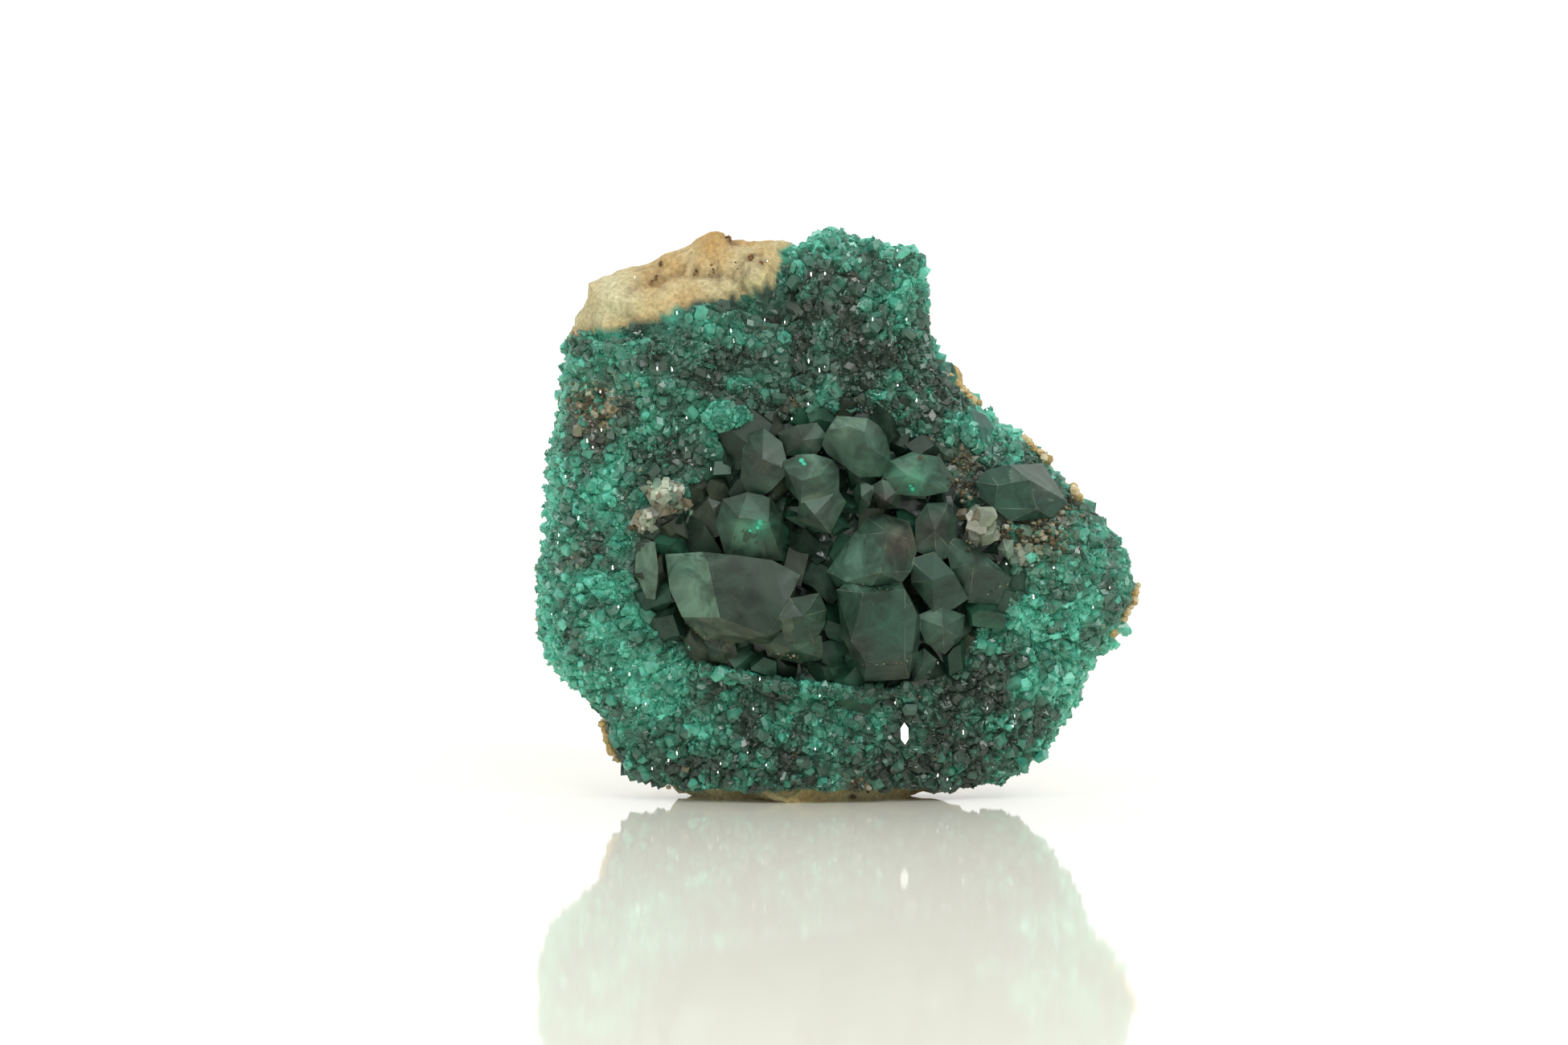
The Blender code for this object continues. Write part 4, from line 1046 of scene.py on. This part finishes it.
# The large crystals: the solids' own faces with worn edges, made uneven, and coloured area by area; the
# bevelled edges are painted pale in patches as a painted highlight
bigCrystals = {
    "edge": 0.09 * mm, "edgeTurn": math.radians(12), "flat": math.radians(4.0), "smooth": math.radians(9),
    "longest": 0.5 * mm, "passes": 3, "uneven": 0.03 * mm, "waves": (1.6 * mm, 0.6 * mm), "fineWave": 0.5,
    "waveStart": 0.3, "lift": 0.80, "edgeHighlightShare": (0.45, 1.6), "edgeHighlightPatch": 1.5 * mm, "facets": 0.4,
    "facetSeed": 1.7, "zoneShare": 0.9, "facetShare": 0.75, "facetFacing": 0.86,
    "looks": {
        # node: name, slot, finish, first colour, painted edge highlight colour
        "upper_crystals": ("upperCrystals", "dark_dioptase", "bigCrystal", (56, 86, 69), (140, 148, 122)),
        "left_crystals": ("leftCrystals", "dark_dioptase", "bigCrystal", (58, 82, 66), (150, 150, 120)),
        "right_crystals": ("rightCrystals", "dark_dioptase", "bigCrystal", (52, 80, 66), (140, 148, 122)),
        "far_right_crystal": (
            "farRightCrystal", "dark_dioptase", "bigCrystal", (42, 74, 62), (110, 125, 110)),
        "left_blade": ("leftBlade", "dark_dioptase", "bigCrystal", (48, 62, 52), (110, 125, 110)),
        "teal_clump": ("tealClump", "teal_dioptase", "bigCrystal", (44, 124, 104), (90, 160, 140)),
        "teal_crystal": ("tealCrystal", "teal_dioptase", "bigCrystal", (44, 110, 94), (80, 150, 130)),
        "ledge_lip": ("ledgeLip", "teal_dioptase", "bigCrystal", (52, 92, 78), (100, 150, 128)),
        "pale_crystal": ("paleCrystal", "pale_calcite", "paleCrystal", (140, 156, 134), (192, 200, 180)),
        "pale_shard": ("paleShard", "pale_calcite", "paleCrystal", (130, 150, 130), (190, 195, 175)),
        "pale_patch": ("palePatch", "pale_calcite", "paleCrystal", (160, 162, 142), (200, 196, 176)),
    },
    # pixel across and down, radius in pixels, colour; the small emerald zones at 990, 1127 and 940 across
    # are painted light coming through the crystals
    "zones": [
        (852, 716, 24, (112, 142, 122)), (850, 697, 13, (70, 150, 122)), (915, 735, 40, (50, 62, 50)),
        (965, 705, 30, (48, 58, 47)), (993, 757, 24, (44, 72, 57)), (925, 775, 20, (88, 96, 78)),
        (1057, 690, 26, (76, 116, 96)), (1112, 668, 22, (98, 88, 78)), (1092, 765, 28, (50, 94, 80)),
        (1060, 795, 20, (64, 66, 58)), (1105, 825, 20, (66, 68, 60)), (1160, 772, 24, (68, 100, 84)),
        (1148, 712, 24, (38, 70, 56)), (1152, 650, 22, (62, 60, 54)), (1205, 712, 24, (48, 62, 54)),
        (1232, 686, 14, (112, 158, 138)), (1045, 526, 18, (108, 136, 116)), (1068, 560, 24, (78, 118, 98)),
        (1000, 575, 20, (78, 108, 92)), (1000, 600, 16, (60, 86, 72)), (1015, 632, 20, (92, 112, 98)),
        (945, 570, 24, (60, 62, 56)), (990, 540, 20, (56, 62, 54)), (925, 645, 26, (76, 122, 98)),
        (1128, 585, 26, (74, 132, 106)), (1092, 615, 16, (76, 68, 62)), (1250, 602, 26, (38, 74, 60)),
        (1290, 596, 18, (92, 108, 98)), (990, 567, 8, (50, 130, 102)), (1127, 602, 8, (50, 130, 100)),
        (940, 648, 12, (44, 134, 104)), (905, 800, 12, (74, 60, 54)),
    ],
    # whole faces of one tone, painted light and shade: faces looking up and faces looking left lighter,
    # faces looking down pale grey as a painted reflection of the floor, faces looking ahead darker; pixel
    # across and down, reach, which way the face looks, colour
    "paintedFacetLight": [
        (845, 716, 64, (-0.5, -0.85, 0.0), (106, 140, 118)),
        (845, 700, 50, (-0.9, -0.4, 0.0), (100, 138, 116)),
        (925, 732, 80, (0.1, -1.0, 0.1), (36, 50, 38)),
        (1150, 712, 40, (0.0, -1.0, 0.0), (34, 62, 50)),
        (920, 775, 60, (0.1, -0.75, -0.6), (92, 102, 84)),
        (1057, 690, 34, (-0.6, -0.8, 0.1), (84, 122, 102)),
        (1055, 530, 30, (0.0, -0.6, 0.8), (112, 142, 122)),
        (1125, 570, 34, (0.0, -0.7, 0.7), (100, 142, 120)),
        (1000, 575, 34, (0.0, -0.6, 0.8), (92, 124, 104)),
        (1285, 590, 40, (0.5, -0.6, 0.6), (98, 122, 106)),
        (1012, 640, 34, (0.0, -0.7, -0.7), (92, 110, 94)),
        (1160, 770, 34, (0.0, -0.9, 0.3), (76, 106, 88)),
    ],
}


def bigColor(spot, color, zones):
    for px, py, reach, tone in zones:
        if pixelsAway(spot, px, py) < reach * 2:
            color = color.lerp(tone, bigCrystals["zoneShare"] * near(spot, px, py, reach))
    return color * bigCrystals["lift"]


def paintedFacetTone(face):
    for px, py, reach, way, tone in bigCrystals["paintedFacetLight"]:
        facing = face.normal.dot(Vector(way).normalized())
        if pixelsAway(face.center, px, py) < reach and facing > bigCrystals["facetFacing"]:
            return screenColor(*tone) * bigCrystals["lift"]
    return None


def finishBigCrystal(nodeName, materials):
    name, slotName, finish, first, edgeHighlightTone = bigCrystals["looks"][nodeName]
    piece = mergedCopy(nodeName, name)
    editAll(bpy.ops.mesh.dissolve_limited, angle_limit=bigCrystals["flat"])
    piece.data.materials.append(materials[finish])
    piece.data.materials.append(materials[finish])
    bevel = piece.modifiers.new("wornEdges", "BEVEL")
    bevel.width = bigCrystals["edge"]
    bevel.segments = 2
    bevel.limit_method = "ANGLE"
    bevel.angle_limit = bigCrystals["edgeTurn"]
    bevel.use_clamp_overlap = True
    bevel.material = 1
    bpy.ops.object.modifier_apply(modifier=bevel.name)
    refine(piece, bigCrystals["longest"], bigCrystals["passes"])
    mesh = piece.data
    wide, fine = bigCrystals["waves"]
    sinks = []
    for vert in mesh.vertices:
        wave = noise.noise(vert.co / wide) + bigCrystals["fineWave"] * noise.noise(vert.co / fine)
        sinks.append(vert.normal * bigCrystals["uneven"] * max(0.0, wave + bigCrystals["waveStart"]))
    for vert, sink in zip(mesh.vertices, sinks):
        vert.co -= sink
    zones = [(px, py, reach, screenColor(*tone)) for px, py, reach, tone in bigCrystals["zones"]]
    tones = [bigColor(vert.co, screenColor(*first), zones) for vert in mesh.vertices]
    edgeHighlightColor = screenColor(*edgeHighlightTone) * bigCrystals["lift"]
    corners = np.ones((len(mesh.loops), 4), np.float32)
    edgeHighlightShare, edgeHighlightWave = bigCrystals["edgeHighlightShare"]
    for face in mesh.polygons:
        seed = face.normal * bigCrystals["facetSeed"] + Vector((0, 0, len(name)))
        shade = 1.0 + bigCrystals["facets"] * noise.noise(seed)
        share = 0.0
        # Painted highlight: the bevelled edges take the pale edge colour in patches
        if face.material_index == 1:
            patch = noise.noise(face.center / bigCrystals["edgeHighlightPatch"])
            share = max(0.0, min(1.0, edgeHighlightShare + edgeHighlightWave * patch))
        # Painted light and shade: some whole faces take one tone by the way they look
        whole = paintedFacetTone(face)
        for loop, vert in zip(face.loop_indices, face.vertices):
            tone = tones[vert].lerp(whole, bigCrystals["facetShare"]) if whole else tones[vert] * shade
            corners[loop, :3] = tone.lerp(edgeHighlightColor, share)
    layer = mesh.color_attributes.new("tint", "FLOAT_COLOR", "CORNER")
    layer.data.foreach_set("color", corners.ravel())
    mesh.polygons.foreach_set("material_index", np.zeros(len(mesh.polygons), np.int32))
    mesh.materials.pop()
    bpy.ops.object.shade_smooth_by_angle(angle=bigCrystals["smooth"])
    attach(piece, "root")
    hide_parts(nodeName)


# The host rock: grainy and pitted, tan with cream and ochre; darker in its pits and creases, partly its own
# dark specks and partly painted shade
rock = {
    "cuts": 5, "tan": (0.47, 0.33, 0.13), "cream": (0.60, 0.57, 0.35), "ochre": (0.46, 0.25, 0.07),
    "olive": (0.52, 0.47, 0.25), "pit": (0.14, 0.09, 0.05),
    "swell": 0.40 * mm, "swellWave": 2.4 * mm, "grain": 0.20 * mm, "grainWave": 0.7 * mm,
    "pits": 0.9 * mm, "pitWave": 1.3 * mm, "pitStart": 0.32, "pitDepth": 0.6 * mm,
    "frontOnly": 4 * mm, "rimDepth": (-2.5 * mm, 3.0 * mm), "foot": 0.02 * mm, "footShare": 0.2,
    # how much cream and ochre there is: at the least, by broad patches and by small spots
    "patchWave": 5.0 * mm, "spotWave": 1.1 * mm, "creamMix": (0.35, 0.9, 0.5), "ochreMix": (-0.1, -1.0, 0.6),
    "ochreMost": 0.7, "ochreShare": 0.55, "spotShare": 0.8, "pitShade": 2.0, "darkMost": 0.5,
    "creamSpots": [(765, 370, 34), (735, 395, 26), (1080, 985, 40), (860, 990, 60)],
    "oliveSpots": [(938, 346, 20), (962, 350, 14), (728, 378, 8)],
    "ochreSpots": [(830, 325, 30), (808, 345, 18), (880, 312, 24), (850, 375, 26)],
    "pitSpots": [
        (901, 301, 5), (907, 304, 4), (928, 322, 5), (932, 318, 3), (913, 334, 4), (815, 330, 3),
        (812, 348, 6), (860, 337, 3), (906, 340, 4), (921, 341, 5), (885, 337, 3), (872, 334, 2),
        (943, 327, 4),
    ],
    # lumps: pixel across and down, radius in pixels, height; creases: depth and a line of pixels
    "lumps": [
        (938, 346, 20, 1.1 * mm), (765, 368, 26, 0.6 * mm), (850, 362, 30, 0.4 * mm),
        (895, 358, 24, 0.5 * mm), (740, 395, 18, 0.4 * mm),
    ],
    "creases": [
        (0.6 * mm, ((790, 352), (812, 350), (835, 340), (875, 342), (905, 346), (918, 356), (922, 368))),
        (0.3 * mm, ((812, 330), (800, 345), (776, 350), (772, 392))),
    ],
    "creaseReach": 5, "creaseDeep": 0.6 * mm, "creaseShade": 0.35,
}


def spotShare(spot, spots):
    if spot.y > rock["frontOnly"]:
        return 0.0
    return max(near(spot, px, py, reach) for px, py, reach in spots)


def creaseAt(spot):
    if spot.y > rock["frontOnly"]:
        return 0.0
    return max(depth * math.exp(-(pixelsFromLine(spot, line) / rock["creaseReach"]) ** 2)
               for depth, line in rock["creases"])


def lumpAt(spot):
    if spot.y > rock["frontOnly"]:
        return 0.0
    return max(height * near(spot, px, py, reach) for px, py, reach, height in rock["lumps"])


def holeAt(spot):
    return max(0.0, noise.noise(spot / rock["pitWave"] + Vector((5, 5, 5))) - rock["pitStart"])


def rockColor(spot):
    color = Vector(rock["tan"])
    cream, ochre, pit = Vector(rock["cream"]), Vector(rock["ochre"]), Vector(rock["pit"])
    wide = noise.noise(spot / rock["patchWave"] + Vector((3, 1, 7)))
    fine = noise.noise(spot / rock["spotWave"] + Vector((8, 2, 4)))
    least, byPatch, bySpot = rock["creamMix"]
    color = color.lerp(cream, max(0.0, min(1.0, least + wide * byPatch + fine * bySpot)))
    least, byPatch, bySpot = rock["ochreMix"]
    color = color.lerp(ochre, max(0.0, min(rock["ochreMost"], least + wide * byPatch + fine * bySpot)))
    color = color.lerp(ochre, rock["ochreShare"] * spotShare(spot, rock["ochreSpots"]))
    color = color.lerp(cream, rock["spotShare"] * spotShare(spot, rock["creamSpots"]))
    color = color.lerp(Vector(rock["olive"]), rock["spotShare"] * spotShare(spot, rock["oliveSpots"]))
    # Painted shade: darker in the pits and creases
    color = color.lerp(pit, min(rock["darkMost"], rock["pitShade"] * holeAt(spot)))
    color = color.lerp(pit, min(rock["darkMost"], rock["creaseShade"] * creaseAt(spot) / rock["creaseDeep"]))
    return color.lerp(pit, rock["spotShare"] * spotShare(spot, rock["pitSpots"]))


def finishRock(material):
    piece = mergedCopy("matrix_rock", "hostRock")
    editAll(bpy.ops.mesh.subdivide, number_cuts=rock["cuts"])
    mesh = piece.data
    rimFront, rimBack = rock["rimDepth"]
    moves = []
    for vert in mesh.vertices:
        spot = vert.co
        lift = rock["swell"] * noise.noise(spot / rock["swellWave"])
        lift += rock["grain"] * noise.noise(spot / rock["grainWave"])
        lift -= rock["pits"] * holeAt(spot)
        lift -= rock["pitDepth"] * spotShare(spot, rock["pitSpots"])
        lift += lumpAt(spot) - creaseAt(spot)
        move = vert.normal * lift
        if rimFront < spot.y < rimBack:
            rim, swell = tanRimAt(spot)
            move -= inwardAt(spot) * rim * swell
        moves.append(move + evened(spot) - spot)
    for vert, move in zip(mesh.vertices, moves):
        if vert.co.z < rock["foot"]:
            move = Vector((move.x * rock["footShare"], move.y * rock["footShare"], 0.0))
        vert.co += move
        vert.co.z = max(vert.co.z, 0.0)
    rng = random.Random(druse["seed"])
    layer = mesh.color_attributes.new("tint", "FLOAT_COLOR", "POINT")
    for vert, mark in zip(mesh.vertices, layer.data):
        green = onGreenStrip(vert.co)
        color = druseColor(rng, vert.co, vert.normal) * crust["shade"] if green else rockColor(vert.co)
        mark.color = (color.x, color.y, color.z, 1.0)
    mesh.materials.append(material)
    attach(piece, "root")
    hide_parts("matrix_rock")
    print("host rock finished:", len(mesh.polygons), "faces")


addCamera()
addStudio()
speckle = makeSpeckle()
growth = makeGrowth()
bigNames = list(bigCrystals["looks"])
bigTree = treeOf([name for name in bigNames if name not in druse["coated"]])
allTree = treeOf(bigNames + ["druse_crust", "matrix_rock"])
crystalLooks = {name: crystalMaterial(name, growth) for name in ("bigCrystal", "paleCrystal")}
druseLook = speckledMaterial("druse", speckle)
rockLook = speckledMaterial("hostRock", speckle)
finishCrust(druseLook)
finishRock(rockLook)
for nodeName in bigNames:
    finishBigCrystal(nodeName, crystalLooks)
print("large crystals finished:", len(bigNames))
growDruse("druseCrystals", modelCrystal(), bigTree, druseLook)
growDruse("druseTips", modelTip(), bigTree, druseLook)
growFilling(crystalLooks["bigCrystal"])
growPale(crystalLooks["paleCrystal"], allTree)
growGlints(modelTablet(), allTree, bigTree, speckledMaterial("glint", speckle))
growSparks(modelTablet(), allTree, druseLook)
grain = modelGrain()
scatterGrains(grain, allTree, bigTree, rockLook)
layRimStones(grain, allTree, rockLook)
